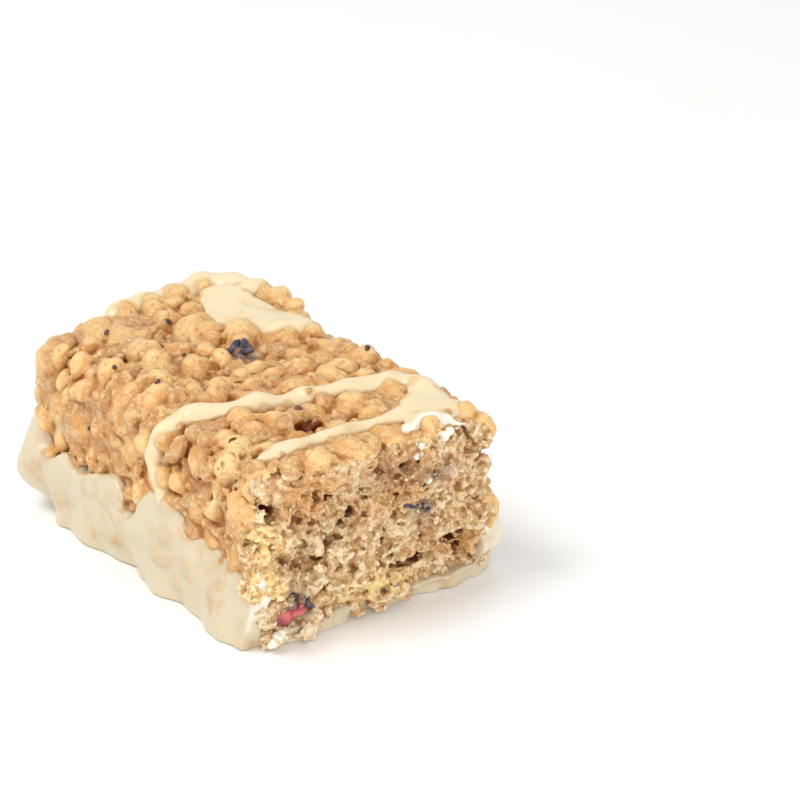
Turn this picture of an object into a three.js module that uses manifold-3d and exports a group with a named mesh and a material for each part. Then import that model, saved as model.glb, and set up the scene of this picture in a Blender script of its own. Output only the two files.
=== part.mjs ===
// One half of a crisp protein bar, broken across the middle: puffed crisps bound with syrup,
// dipped in a pale yoghurt coating up to half their height and drizzled with more of it.
// Millimetres, +Z up. The bar lies along X with its broken face at +X and its moulded end at -X,
// and it stands on its coated base at z = 0.
import * as THREE from "three";
import { mergeVertices } from "three/addons/utils/BufferGeometryUtils.js";
import Module from "manifold-3d";

const wasm = await Module();
wasm.setup();

// Driving dimensions of the crisp block, as a straight block before it settles askew
const END_X = -25.3;
const CUT_X = 25.9;
const HALF_WIDTH = 17.0;
const TOP_Z = 24.0;
const EDGE_RADIUS = 4.6;
const CRISP_COVER = 1.5; // depth of the crisps that stand out of the bare block
const CUT_COVER = 0.9; // depth of the lumps that stand out of the broken face
const BLOCK_SQUARES = new THREE.Vector3(14, 10, 6); // squares along each edge of the bare block

// How the block settles: both ends skewed, sides drawn in towards the top, the moulded end leaning
// in, the top lower towards the break and the near upper corner of the break chipped back
const END_SKEW = Math.tan(THREE.MathUtils.degToRad(-3.5));
const CUT_SKEW = Math.tan(THREE.MathUtils.degToRad(4.5));
const DRAFT = 0.035;
const END_LEAN = 1.6; // how far the moulded end leans in at the top
const DROOP = { depth: 0.04, start: 0.6 }; // share of the height, and of the length where it starts
const CHIP = { depth: 4.0, start: 0.75, fromY: -10, lowZ: 8, fullZ: 13 };

// The coating: a tray with an uneven rim, open at the broken face
const BASE_THICKNESS = 1.7;
const COAT_OVER_CRISPS = 0.5; // how far its side stands out of the crisps at mid-height
const END_FOOT = 0.8; // how much further it stands out at the moulded end
const RIM_Z = 11.2;
const RIM_FALL = 0.02; // how much lower the rim is for each millimetre towards the break
const RIM_ROUNDING = 0.6;
const FOOT_ROUNDING = 1.1;
const FOOT_SAG = 0.5;
const FIT_GAP = 0.3; // clear space between the coating and the block
const COAT_SQUARES = new THREE.Vector3(26, 10, 5);
const TOUCHING = 0.05; // clear space where two forms only touch while they are joined
const PAST_END = 10; // how far a cutting form runs past the form that it cuts

// Waves of the coating's rim and wall: height, turn for each millimetre, and shift on each side
const RIM_WAVES = [
  { height: 0.8, turn: 0.21, shift: -1.2, sideShift: 0.9 },
  { height: 0.55, turn: 0.53, shift: 0, sideShift: -1.7 },
];
const RIM_END_WAVE = { height: 0.5, turn: 0.35, shift: 0.6, sideShift: 0 };
const WALL_WAVE = { height: 0.45, turn: 0.38, shift: 0, sideShift: -1.5 };
const WALL_END_WAVE = { height: 0.25, turn: 0.47, shift: 1.0, sideShift: 0 };

// Crisps: radius range, number of tries and how close two may come, as a share of their radii
const CRISP_TIERS = [
  { low: 2.2, high: 3.0, tries: 700, spacing: 0.8 },
  { low: 1.4, high: 2.0, tries: 1650, spacing: 0.8 },
];
const BREAK_TIERS = [
  { low: 1.7, high: 2.6, tries: 160, spacing: 0.82 },
  { low: 1.1, high: 1.6, tries: 420, spacing: 0.84 },
];
const CRISP_LIFT = { low: -0.5, high: 0.35 }; // height of a crisp's top over the skin
const CRISP_STRETCH = { low: 0.85, high: 1.2 };
const LARGE_RADIUS = 2.2; // crisps above it have more sides
const TOP_SHARE = 0.46; // share of the crisps tried on the top, then on each long side
const SIDE_SHARE = 0.2;
const LOWEST_CRISP_Z = 3.0;
const BREAK_MARGIN = 0.5; // no crisp's middle comes nearer to the broken face
const BROKEN_CRISP_REACH = 0.4; // crisps broken in the face stand out of it this far
const BREAK_INSET = 3.2; // lumps of the broken face start this far from its edges
const CRISP_SEED = 20417;
const BREAK_SEED = 7103;

// Drizzle strands: places on the straight block's sharp box that each runs over, and half the width
// and half the height of its section
const DRIZZLE = {
  long: {
    points: [
      [21.0, 12.2, TOP_Z],
      [16.0, 11.6, TOP_Z],
      [14.2, 3.0, TOP_Z],
      [12.7, -7.0, TOP_Z],
      [10.2, -14.0, TOP_Z],
      [7.8, -HALF_WIDTH, 20.2],
      [6.9, -HALF_WIDTH, 17.0],
      [7.5, -HALF_WIDTH, 13.4],
    ],
    halfWidth: 1.6,
    halfHeight: 0.9,
  },
  short: {
    points: [
      [21.0, 11.4, TOP_Z],
      [21.2, 6.0, TOP_Z],
      [22.1, -1.0, TOP_Z],
      [22.5, -7.2, TOP_Z],
      [24.4, -12.2, TOP_Z],
    ],
    halfWidth: 1.4,
    halfHeight: 0.9,
  },
  patch: {
    points: [
      [18.5, 12.4, TOP_Z],
      [22.0, 11.0, TOP_Z],
      [24.0, 7.0, TOP_Z],
    ],
    halfWidth: 3.2,
    halfHeight: 0.8,
  },
  pool: {
    points: [
      [-17.0, 5.4, TOP_Z],
      [-12.6, 7.2, TOP_Z],
      [-8.0, 9.2, TOP_Z],
      [-3.8, 12.6, TOP_Z],
    ],
    halfWidth: 3.8,
    halfHeight: 1.0,
  },
};
const STRAND_HALF_SIDES = 5; // sides of half a strand's section
const STRAND_SINK = 0.3; // depth of a strand's middle under the tops of the crisps
const STRAND_STEP = 3.0; // length of one straight stretch of a strand

// Berry pieces and seeds: place on the sharp box, size along X, Y and Z, and height over the skin
const INCLUSIONS = [
  { at: [-1.1, 1.1, TOP_Z], size: [2.2, 3.4, 1.8], lift: 0.5 },
  { at: [-12.5, -2.4, TOP_Z], size: [1.2, 0.9, 0.9], lift: 0.5 },
  { at: [-15.7, -9.7, TOP_Z], size: [1.3, 1.0, 0.9], lift: 0.5 },
  { at: [2.3, -13.6, TOP_Z], size: [1.3, 1.0, 0.9], lift: 0.5 },
  { at: [CUT_X, -11.5, 4.4], size: [2.4, 3.6, 2.2], lift: 0.6 },
  { at: [CUT_X, 5.3, 13.6], size: [2.0, 2.6, 1.8], lift: 0.5 },
];

const CRISP_FINISH = { color: "#dcae70", roughness: 0.45 };
const COAT_FINISH = { color: "#f1e3c1", roughness: 0.35 };
const WELD_DISTANCE = 1e-4;

// Numbers from one seeded sequence, each between low and high
function seededDraw(seed) {
  let state = seed;
  return (low, high) => {
    state = (Math.imul(state, 1664525) + 1013904223) >>> 0;
    return low + ((high - low) * state) / 2 ** 32;
  };
}

// A closed geometry as a solid for joining and cutting
function solidOf(geometry) {
  const bare = geometry.clone();
  bare.deleteAttribute("normal");
  bare.deleteAttribute("uv");
  const merged = mergeVertices(bare, WELD_DISTANCE);
  const vertProperties = new Float32Array(merged.attributes.position.array);
  const triVerts = new Uint32Array(merged.index.array);
  return new wasm.Manifold(new wasm.Mesh({ numProp: 3, vertProperties, triVerts }));
}

// The largest body of a solid with its sealed hollows filled, scraps dropped
function soundBody(solid) {
  const bodies = solid.decompose().filter((body) => body.volume() > 0);
  return bodies.reduce((most, body) => (body.volume() > most.volume() ? body : most));
}

function geometryOf(solid) {
  const { vertProperties, triVerts } = solid.getMesh();
  const geometry = new THREE.BufferGeometry();
  geometry.setAttribute("position", new THREE.BufferAttribute(vertProperties, 3));
  geometry.setIndex(new THREE.BufferAttribute(triVerts, 1));
  return geometry;
}

// Runs every vertex of a geometry through a function that changes the point in place
function reshape(geometry, change) {
  const position = geometry.attributes.position;
  const point = new THREE.Vector3();
  for (let i = 0; i < position.count; i++) {
    change(point.fromBufferAttribute(position, i));
    position.setXYZ(i, point.x, point.y, point.z);
  }
  return geometry;
}

// A block rounded on every edge but those of its broken face, made from a box of small squares
function roundedBlock(low, high, radius, squares) {
  const size = high.clone().sub(low);
  const box = new THREE.BoxGeometry(size.x, size.y, size.z, squares.x, squares.y, squares.z);
  box.translate(low.x + size.x / 2, low.y + size.y / 2, low.z + size.z / 2);
  const innerLow = low.clone().addScalar(radius);
  const innerHigh = new THREE.Vector3(high.x, high.y - radius, high.z - radius);
  return reshape(box, (point) => {
    const inner = point.clone().clamp(innerLow, innerHigh);
    const out = point.clone().sub(inner);
    const reach = Math.max(Math.abs(out.x), Math.abs(out.y), Math.abs(out.z));
    point.copy(inner).addScaledVector(out, reach / (out.length() || 1));
  });
}

// The bare block inside the crisps, grown by a gap when it is cut out of the coating
function bareBlock(gap, cutX, topZ) {
  const inset = CRISP_COVER - gap;
  const low = new THREE.Vector3(END_X + inset, inset - HALF_WIDTH, BASE_THICKNESS + FIT_GAP - gap);
  const high = new THREE.Vector3(cutX, HALF_WIDTH - inset, topZ);
  return solidOf(roundedBlock(low, high, EDGE_RADIUS - inset, BLOCK_SQUARES));
}

// The bare block run on past the break and the top, to cut the coating open there
function openBlock(gap) {
  return bareBlock(gap, CUT_X + PAST_END, TOP_Z + PAST_END);
}

// A place on the straight sharp box, moved onto its rounded skin, with the outward direction there
function onSkin([x, y, z]) {
  const low = new THREE.Vector3(END_X, -HALF_WIDTH, -TOP_Z).addScalar(EDGE_RADIUS);
  const high = new THREE.Vector3(CUT_X, HALF_WIDTH - EDGE_RADIUS, TOP_Z - EDGE_RADIUS);
  const point = new THREE.Vector3(x, y, z);
  const inner = point.clone().clamp(low, high);
  const out = point.sub(inner);
  if (out.length() === 0) {
    return { point: inner, out: new THREE.Vector3(1, 0, 0) };
  }
  out.normalize();
  return { point: inner.addScaledVector(out, EDGE_RADIUS), out };
}

function waveAt({ height, turn, shift, sideShift }, distance, side) {
  return height * Math.sin(turn * distance + shift + sideShift * side);
}

// Height of the coating's rim at a place on its wall
function rimHeight(x, y) {
  const side = Math.sign(y);
  const alongSide = RIM_WAVES.reduce((sum, wave) => sum + waveAt(wave, x, side), 0);
  return RIM_Z - RIM_FALL * x + alongSide + waveAt(RIM_END_WAVE, y, side);
}

// How far the coating's wall stands out at a share of its height: rounded at foot and rim
function wallBulge(x, y, share) {
  const side = Math.sign(y);
  const underFoot = Math.max(0, FOOT_ROUNDING - share * RIM_Z);
  const foot = Math.sqrt(FOOT_ROUNDING ** 2 - underFoot ** 2) - FOOT_ROUNDING;
  const sag = FOOT_SAG * (1 - share) ** 2;
  const rim = RIM_ROUNDING * share ** 8;
  const wave = waveAt(WALL_WAVE, x, side) + waveAt(WALL_END_WAVE, y, side);
  return foot + sag - rim + wave * (1 - share / 2);
}

// The coating's outer form as a filled block, grown by a clear distance, its rows closer at the foot
function coatBlock(clear) {
  const corner = EDGE_RADIUS + COAT_OVER_CRISPS;
  const halfWidth = HALF_WIDTH + COAT_OVER_CRISPS;
  const endX = END_X - COAT_OVER_CRISPS - END_FOOT;
  const box = new THREE.BoxGeometry(1, 1, 1, ...COAT_SQUARES);
  return solidOf(
    reshape(box, (point) => {
      const x = THREE.MathUtils.lerp(endX, CUT_X + clear, point.x + 0.5);
      const y = 2 * point.y * halfWidth;
      const share = (point.z + 0.5) ** 1.5;
      const innerX = Math.max(x, endX + corner);
      const innerY = THREE.MathUtils.clamp(y, corner - halfWidth, halfWidth - corner);
      const out = new THREE.Vector2(x - innerX, y - innerY);
      const reach = Math.max(Math.abs(out.x), Math.abs(out.y));
      const bulge = (wallBulge(x, y, share) + clear) * (reach / corner) ** 4;
      out.setLength(reach + bulge);
      const z = share * (rimHeight(x, y) + clear);
      point.set(innerX + out.x, innerY + out.y, z);
    }),
  );
}

// Places for round pieces on given faces, never closer than their spacing allows
function scatterPieces(tiers, draw, pickPlace) {
  const placed = [];
  for (const tier of tiers) {
    for (let attempt = 0; attempt < tier.tries; attempt++) {
      const place = pickPlace(draw);
      const radius = draw(tier.low, tier.high);
      const lift = draw(CRISP_LIFT.low, CRISP_LIFT.high);
      const stretch = [0, 1, 2].map(() => draw(CRISP_STRETCH.low, CRISP_STRETCH.high));
      const turn = [0, 1, 2].map(() => draw(0, Math.PI));
      const centre = place.point.addScaledVector(place.out, lift - radius);
      const isClear = placed.every(
        (other) => other.centre.distanceTo(centre) > tier.spacing * (other.radius + radius),
      );
      if (isClear) {
        placed.push({ centre, radius, stretch, turn });
      }
    }
  }
  return placed;
}

// A place on the top, the long sides or the moulded end, by their shares of the skin
function pickOuterPlace(draw) {
  const face = draw(0, 1);
  const along = draw(END_X, CUT_X - BREAK_MARGIN);
  const across = draw(-HALF_WIDTH, HALF_WIDTH);
  const up = draw(LOWEST_CRISP_Z, TOP_Z);
  if (face < TOP_SHARE) {
    return onSkin([along, across, TOP_Z]);
  }
  if (face < TOP_SHARE + SIDE_SHARE) {
    return onSkin([along, -HALF_WIDTH, up]);
  }
  if (face < TOP_SHARE + 2 * SIDE_SHARE) {
    return onSkin([along, HALF_WIDTH, up]);
  }
  return onSkin([END_X, across, up]);
}

// A place on the broken face, inside the coating's walls
function pickBreakPlace(draw) {
  const across = draw(BREAK_INSET - HALF_WIDTH, HALF_WIDTH - BREAK_INSET);
  const up = draw(BASE_THICKNESS + BREAK_INSET, TOP_Z - BREAK_INSET);
  return { point: new THREE.Vector3(CUT_X, across, up), out: new THREE.Vector3(1, 0, 0) };
}

// One crisp as a solid: an uneven ball with few sides, fewer still on a small one
function crispSolid({ centre, radius, stretch, turn }) {
  const isLarge = radius > LARGE_RADIUS;
  const ball = isLarge ? new THREE.DodecahedronGeometry(radius) : new THREE.IcosahedronGeometry(radius);
  ball.scale(...stretch);
  ball.applyMatrix4(new THREE.Matrix4().makeRotationFromEuler(new THREE.Euler(...turn)));
  ball.translate(centre.x, centre.y, centre.z);
  return solidOf(ball);
}

// The crisps that show above the coating's rim, broken off flat at the break
function outerCrisps() {
  const placed = scatterPieces(CRISP_TIERS, seededDraw(CRISP_SEED), pickOuterPlace);
  const showing = placed.filter(({ centre, radius }) => {
    return centre.z + radius > rimHeight(centre.x, centre.y) + FIT_GAP;
  });
  const reach = 4 * HALF_WIDTH;
  const pastBreak = new THREE.BoxGeometry(reach, reach, reach);
  pastBreak.translate(CUT_X + BROKEN_CRISP_REACH + reach / 2, 0, 0);
  return wasm.Manifold.union(showing.map(crispSolid)).subtract(solidOf(pastBreak));
}

// The lumps that stand out of the broken face
function breakLumps() {
  return scatterPieces(BREAK_TIERS, seededDraw(BREAK_SEED), pickBreakPlace).map(crispSolid);
}

// A strand of drizzle laid over the skin, half sunk between the crisps, with round ends
function drizzleStrand({ points, halfWidth, halfHeight }) {
  const centres = points.map((place) => {
    const { point, out } = onSkin(place);
    return point.addScaledVector(out, -STRAND_SINK);
  });
  const path = new THREE.CatmullRomCurve3(centres);
  const section = new THREE.Shape();
  section.absellipse(0, 0, halfHeight, halfWidth, 0, 2 * Math.PI, false, 0);
  const strand = new THREE.ExtrudeGeometry(section, {
    steps: Math.ceil(path.getLength() / STRAND_STEP),
    curveSegments: STRAND_HALF_SIDES,
    extrudePath: path,
  });
  const ends = [0, 1].map((share) => {
    const cap = new THREE.SphereGeometry(1, 2 * STRAND_HALF_SIDES, STRAND_HALF_SIDES);
    cap.scale(halfWidth, halfWidth, halfHeight);
    const { x, y, z } = path.getPoint(share);
    return solidOf(cap.translate(x, y, z));
  });
  return wasm.Manifold.union([solidOf(strand), ...ends]);
}

function inclusion({ at, size, lift }) {
  const grain = new THREE.IcosahedronGeometry(0.5, 1);
  grain.scale(...size);
  const { point, out } = onSkin(at);
  point.addScaledVector(out, lift - Math.min(...size) / 2);
  return solidOf(grain.translate(point.x, point.y, point.z));
}

// Moves a point of the straight block to where it settles, leaving the base flat
function settle(point) {
  const { lerp, smoothstep } = THREE.MathUtils;
  const { x, y, z } = point;
  const share = (x - END_X) / (CUT_X - END_X);
  const nearCorner = smoothstep(share, CHIP.start, 1) * smoothstep(-y, -CHIP.fromY, HALF_WIDTH);
  const chip = CHIP.depth * nearCorner * smoothstep(z, CHIP.lowZ, CHIP.fullZ);
  const lean = (END_LEAN * (1 - share) ** 3 * z) / TOP_Z;
  point.x = x + y * lerp(END_SKEW, CUT_SKEW, share) + lean - chip;
  point.y = y * (1 - (DRAFT * z) / TOP_Z);
  point.z = z * (1 - DROOP.depth * smoothstep(share, DROOP.start, 1));
}

function finishedMesh(name, solid, finish) {
  const geometry = reshape(geometryOf(solid), settle);
  geometry.computeVertexNormals();
  const mesh = new THREE.Mesh(geometry, new THREE.MeshStandardMaterial(finish));
  mesh.name = name;
  return mesh;
}

// The crisp block: bare block, crisps, broken lumps, drizzle and berries, clear of the coating
function crispCore() {
  const block = bareBlock(0, CUT_X - CUT_COVER, TOP_Z - CRISP_COVER);
  const strands = Object.values(DRIZZLE).map(drizzleStrand);
  const pieces = [outerCrisps(), ...breakLumps(), ...strands, ...INCLUSIONS.map(inclusion)];
  const coatSpace = coatBlock(FIT_GAP).subtract(openBlock(TOUCHING));
  return soundBody(wasm.Manifold.union([block, ...pieces]).subtract(coatSpace));
}

function coating() {
  return soundBody(coatBlock(0).subtract(openBlock(FIT_GAP)));
}

const bar = new THREE.Group();
bar.add(finishedMesh("crisp_core", crispCore(), CRISP_FINISH));
bar.add(finishedMesh("coating", coating(), COAT_FINISH));

export default bar;
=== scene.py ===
"""Looks of one half of a crisp protein bar: puffed crisps bound with syrup, a broken crumb face,
a pale yoghurt coating below, drizzle on top, and bits of berry and seed.

Forms are worked out on the straight bar in millimetres, as distances on a grid that are negative
inside, and every point is then settled and scaled to metres as the bar's solids are.
"""
import math
from collections import namedtuple

import bpy
import numpy as np
import openvdb
from mathutils import Euler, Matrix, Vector


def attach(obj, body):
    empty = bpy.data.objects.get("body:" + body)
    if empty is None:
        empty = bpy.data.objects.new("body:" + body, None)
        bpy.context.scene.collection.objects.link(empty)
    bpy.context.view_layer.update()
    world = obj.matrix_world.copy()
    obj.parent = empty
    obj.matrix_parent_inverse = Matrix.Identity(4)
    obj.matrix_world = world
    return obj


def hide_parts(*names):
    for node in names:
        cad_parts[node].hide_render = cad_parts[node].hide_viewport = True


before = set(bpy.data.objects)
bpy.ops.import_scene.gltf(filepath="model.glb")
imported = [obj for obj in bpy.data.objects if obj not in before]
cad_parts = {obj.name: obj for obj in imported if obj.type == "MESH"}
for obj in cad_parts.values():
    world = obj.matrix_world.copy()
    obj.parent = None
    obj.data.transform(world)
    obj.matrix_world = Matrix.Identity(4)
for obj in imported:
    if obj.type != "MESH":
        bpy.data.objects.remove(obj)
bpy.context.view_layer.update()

MM = 0.001

# The straight bar, in millimetres, with the sizes of its solids
END_X = -25.3
CUT_X = 25.9
HALF_WIDTH = 17.0
TOP_Z = 24.0
EDGE_RADIUS = 4.6
BASE_THICKNESS = 1.7
END_SKEW = math.tan(math.radians(-3.5))
CUT_SKEW = math.tan(math.radians(4.5))
DRAFT = 0.035
END_LEAN = 1.6
DROOP_DEPTH = 0.04
DROOP_START = 0.6
CHIP_DEPTH = 4.0
CHIP_FROM_Y = 10.0
CHIP_LOW_Z = 8.0
CHIP_FULL_Z = 13.0

# Crisps, spread by the same seeded draws as in the solids. Each tier has the range of radii, the
# number of tries, the least spacing as a share of two radii, and the range of lifts.
Tier = namedtuple("Tier", "low high tries spacing lift")
CRISP_LIFT = (-0.5, 0.35)
CRISP_TIERS = (Tier(2.2, 3.0, 700, 0.8, CRISP_LIFT), Tier(1.4, 2.0, 1650, 0.8, CRISP_LIFT))
BREAK_TIERS = (Tier(1.7, 2.6, 160, 0.82, CRISP_LIFT), Tier(1.1, 1.6, 420, 0.84, CRISP_LIFT))
CRISP_STRETCH = (0.85, 1.2)
TOP_SHARE = 0.46
SIDE_SHARE = 0.2
LOWEST_CRISP_Z = 3.0
BREAK_MARGIN = 0.5
BREAK_INSET = 3.2
CRISP_SEED = 20417
BREAK_SEED = 7103
DRAW_FACTOR = 1664525
DRAW_STEP = 1013904223
DRAW_RANGE = 2**32

# Large crisps that stand out of the top: place and radius
STANDING_CRISPS = (
    ((-15.4, 14.9, 22.3), 1.9),
    ((-12.4, 15.1, 22.5), 2.0),
    ((-9.8, 15.3, 22.5), 1.7),
    ((-22.2, -6.0, 22.0), 2.1),
    ((-22.4, -2.0, 22.2), 2.2),
    ((-22.2, 2.2, 22.3), 2.1),
    ((-22.3, 6.2, 22.4), 2.2),
    ((-21.8, 10.0, 22.4), 2.2),
    ((-19.6, 13.2, 22.2), 2.1),
    ((-21.0, -8.0, 22.1), 2.4),
    ((-19.4, -8.8, 22.2), 2.0),
    ((-15.5, -6.5, 22.0), 2.5),
    ((-13.8, -5.6, 22.2), 1.8),
    ((-11.8, 1.0, 22.1), 2.6),
    ((-10.4, 2.4, 22.0), 2.2),
    ((-6.0, 4.6, 22.3), 2.2),
)
STANDING_STRETCH = (1.0, 1.1, 0.95)
STANDING_TURN = (0.3, 0.2)
STANDING_TONE = 0.9

# What fills the gaps between the crisps: smaller crisps, crumbs and syrup
FILL_TIERS = (Tier(0.95, 1.4, 2600, 0.74, (-0.9, 0.0)), Tier(0.5, 0.9, 5200, 0.76, (-1.2, -0.2)))
SYRUP_DEPTH = 1.05
SYRUP_PAST_CUT = 10.0
CRISP_MELT = 0.35
FILL_MELT = 0.4
LONGEST_CRISP = 2.8
NO_CRISP_NEAR = 9.0
MIDDLE_TONE = 0.5

# Random swells of the surfaces: width, height and seed
Swell = namedtuple("Swell", "width height seed")
CRISP_WARPS = (Swell(2.8, 0.22, 13), Swell(2.8, 0.22, 14), Swell(2.8, 0.22, 15))
SKIN_LUMPS = Swell(1.6, 0.13, 11)
SKIN_WRINKLES = Swell(0.75, 0.08, 12)
SKIN_SINK = 0.2
SYRUP_SWELL = Swell(3.5, 0.35, 21)
WALL_SWELL = Swell(5.0, 0.35, 31)
COAT_SWELL = Swell(3.0, 0.12, 32)
RIM_SWELL = Swell(2.6, 1.0, 33)
COAT_BREAK_SWELL = Swell(4.0, 0.25, 34)
COAT_BREAK_GRAIN = Swell(0.9, 0.2, 35)
DRIZZLE_SWELL = Swell(2.2, 0.08, 51)
DRIZZLE_END_SWELL = Swell(1.5, 0.5, 52)
DRIZZLE_RAGS = Swell(0.8, 0.22, 53)
BREAK_SWELL = Swell(5.0, 0.4, 61)
BREAK_LUMPS = Swell(1.7, 0.28, 62)
REACH_SWELL = Swell(1.5, 0.3, 63)
CRUMB_SWELLS = (Swell(2.2, 0.26, 64), Swell(1.1, 0.15, 65), Swell(0.55, 0.15, 66), Swell(0.32, 0.12, 67))
HOLE_SWELL = Swell(0.8, 0.15, 68)

# The broken face
BREAK_BACK = 0.7
BREAK_MELT = 0.5
BREAK_CRISP_MELT = 0.4
BROKEN_CRISP_REACH = 0.5
REACH_MELT = 0.3
FACE_LOW_Z = 0.1
LOW_MELT = 0.1
STREWN_FROM_Z = (0.4, 0.9)
ROUGH_DEPTH = (0.2, 0.8)
CRUMB_DEPTH = (0.3, 0.9)

# Seams between stretches of the block
BREAK_SEAM_X = 21.4
MIDDLE_SEAM_X = -2.5
FACE_SEAM_Y = 1.0
SEAM_OVERLAP = 0.8
SEAM_SINK = 0.25
SEAM_FADE_IN = 0.3
SEAM_FADE_OUT = 0.7

# Grains and pores of the broken face, and how far out of it they lie, in millimetres
Crumbs = namedtuple("Crumbs", "seed count radius melt")
CRUMB_STRETCH = (0.7, 1.2)
GRAINS = Crumbs(71, 3000, (0.2, 0.5), 0.1)
GRAIN_OUT = (-0.1, 0.4)
PORES = Crumbs(72, 90, (0.25, 0.6), 0.1)
PORE_OUT = (-0.1, 0.5)

# Clumps of small pale crisps at the near edge of the break: place across and up, spread and count
CLUMPS = (
    (-15.2, 14.6, 1.5, 26),
    (-15.0, 11.4, 1.3, 22),
    (-16.4, 7.6, 1.0, 14),
    (-12.6, 9.6, 1.1, 12),
)
CLUMP_SEED = 74
CLUMP_CRISP_RADIUS = (0.5, 1.2)
CLUMP_MELT = 0.12
CLUMP_NARROWNESS = 0.6
CLUMP_OUT = (-0.9, 0.5)
CLUMP_SINK = 0.5

# Forms of the broken face: place across and up, half size across and up, and how far it stands out
BREAK_FORMS = (
    (11.0, 3.2, 6.0, 1.5, -1.6),
    (-14.0, 12.5, 3.6, 3.2, 1.0),
    (-10.5, 16.8, 2.2, 1.6, -1.3),
    (9.0, 6.6, 4.5, 1.4, -1.5),
    (12.8, 5.2, 2.6, 2.4, 0.9),
    (2.0, 4.4, 5.0, 1.6, 0.7),
    (-5.0, 5.6, 3.0, 2.0, 0.5),
    (8.0, 18.0, 4.0, 2.0, -0.5),
)
FORM_FALL = 0.7

# Holes of the broken face: place across and up, radius across and up
BREAK_HOLES = (
    (-13.6, 16.9, 0.8, 1.0),
    (-6.1, 17.2, 0.65, 0.55),
    (-3.3, 14.3, 0.65, 0.6),
    (-4.2, 13.2, 0.65, 0.45),
    (4.1, 18.9, 0.75, 0.7),
    (6.4, 8.1, 1.1, 0.55),
    (11.4, 6.6, 1.4, 0.65),
    (12.3, 4.4, 0.4, 1.0),
    (2.4, 7.0, 0.75, 0.5),
    (5.2, 4.9, 2.0, 0.4),
    (-7.2, 9.5, 0.8, 0.4),
    (-10.5, 12.4, 0.8, 0.4),
)
HOLE_DEPTH = 2.7
HOLE_GROWTH = 1.25
HOLE_MELT = 0.15
HOLE_EDGE = (1.0, 2.2)
HOLE_MOUTH = (0.1, 0.9)

# Holes between the crisps of the top: place along and across, radius along and across
TOP_HOLES = (
    (18.1, -4.8, 0.8, 1.2),
    (18.6, -3.2, 0.8, 0.8),
    (20.6, -13.2, 0.7, 0.9),
)

# A crisp at the near corner that popped open: place, radius, and pores in its shell
POPPED_PLACE = (18.7, -14.8, 21.3)
POPPED_RADIUS = 2.0
POPPED_STRETCH = (0.75, 1.05, 1.15)
POPPED_TURN = (0.2, 0.4, 0.1)
POPPED_TONE = 1.0
POPPED_PORES = Crumbs(22, 12, (0.45, 0.9), 0.15)
POPPED_PORE_OUT = 0.7

# Crumbs that hang over the base, gathered round a few places across the break
EDGE_CRUMBS = Crumbs(73, 90, (0.4, 1.0), 0.15)
EDGE_CRUMB_PLACES = (-12.5, -11.0, -8.5, -1.0, 2.5)
EDGE_CRUMB_SPREAD = 1.4
EDGE_CRUMB_OUT = (-1.0, 0.6)
EDGE_CRUMB_Z = (0.5, 2.6)

# The coating: its rim, waves, thickness, melts, foot and bulges
RIM_Z = 11.2
RIM_FALL = 0.02
Wave = namedtuple("Wave", "height turn shift side_shift")
RIM_WAVES = (Wave(0.8, 0.21, -1.2, 0.9), Wave(0.55, 0.53, 0.0, -1.7))
RIM_END_WAVE = Wave(0.5, 0.35, 0.6, 0.0)
WALL_WAVE = Wave(0.45, 0.38, 0.0, -1.5)
WALL_END_WAVE = Wave(0.25, 0.47, 1.0, 0.0)
COAT_THICKNESS = 0.6
COAT_LEAST = 0.22
COAT_INSIDE = 0.9
COAT_GONE = 1.2
COAT_BLUR = 0.9
COAT_REACH = 5.0
COAT_PAST_CUT = 0.2
COAT_BREAK_MELT = 0.15
BASE_ROOM = 0.3
BASE_MELT = 0.25
ROOM_MELT = 0.2
COVER_FALL = 3.0
COVER_MELT = 0.5
COVER_FADE = (0.0, 1.2)
RIM_FADE = (-0.6, 2.0)
STRAIGHT_BELOW_Z = 4.5
WALL_SHARE = 0.4
FOOT_SHARE = 0.3
FOOT_SPREAD = 0.6
FOOT_ROUNDING = 0.4
FOOT_FADE_Z = (0.0, 7.0)
Bulge = namedtuple("Bulge", "out middle_z half_height")
END_BULGE = Bulge(3.0, 5.4, 5.2)
END_BULGE_X = (18.5, 25.0)
END_RIM_RISE = 2.2
END_RIM_X = (20.0, 25.0)
FAR_BULGE = Bulge(0.7, 7.5, 4.0)
FAR_BULGE_X = (15.0, 24.0)
FAR_BULGE_Y = (8.0, 14.0)
NEAR_SIDE_Y = (6.0, 13.0)

# Places along the near side, with the height of the rim there
NEAR_RIM = (
    (-27.0, 14.4), (-23.0, 13.2), (-18.5, 11.4), (-14.0, 11.5), (-5.0, 11.5), (0.0, 10.6),
    (4.0, 11.8), (9.0, 10.3), (12.5, 11.3), (17.6, 10.4), (23.0, 9.5), (26.0, 10.2),
)
# Places along the near side, with how far the foot runs out or draws in there
NEAR_FOOT = (
    (-28.0, -2.4), (-22.0, -2.6), (-16.0, -1.0), (-11.0, -0.2), (-5.0, -1.5), (-1.0, -1.7), (2.0, -1.0),
    (6.0, 0.0), (11.0, -0.7), (15.0, -1.0), (18.0, -0.2), (21.0, 0.7), (25.0, 0.8),
)
# Where the coating broke off short: how far, to which side, and from where to where across and up
COAT_BREAKS = (
    (1.5, -1, (12.0, 16.0), (0.0, 9.0)),
    (1.0, 1, (-8.0, 2.0), (1.0, 4.0)),
    (1.4, 1, (15.0, 19.0), (0.0, 6.0)),
)


def on_top(*knots):
    """Knots of a strand on the top, from places along and across, with half the width there."""
    return tuple((along, across, TOP_Z, half_width) for along, across, half_width in knots)


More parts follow.
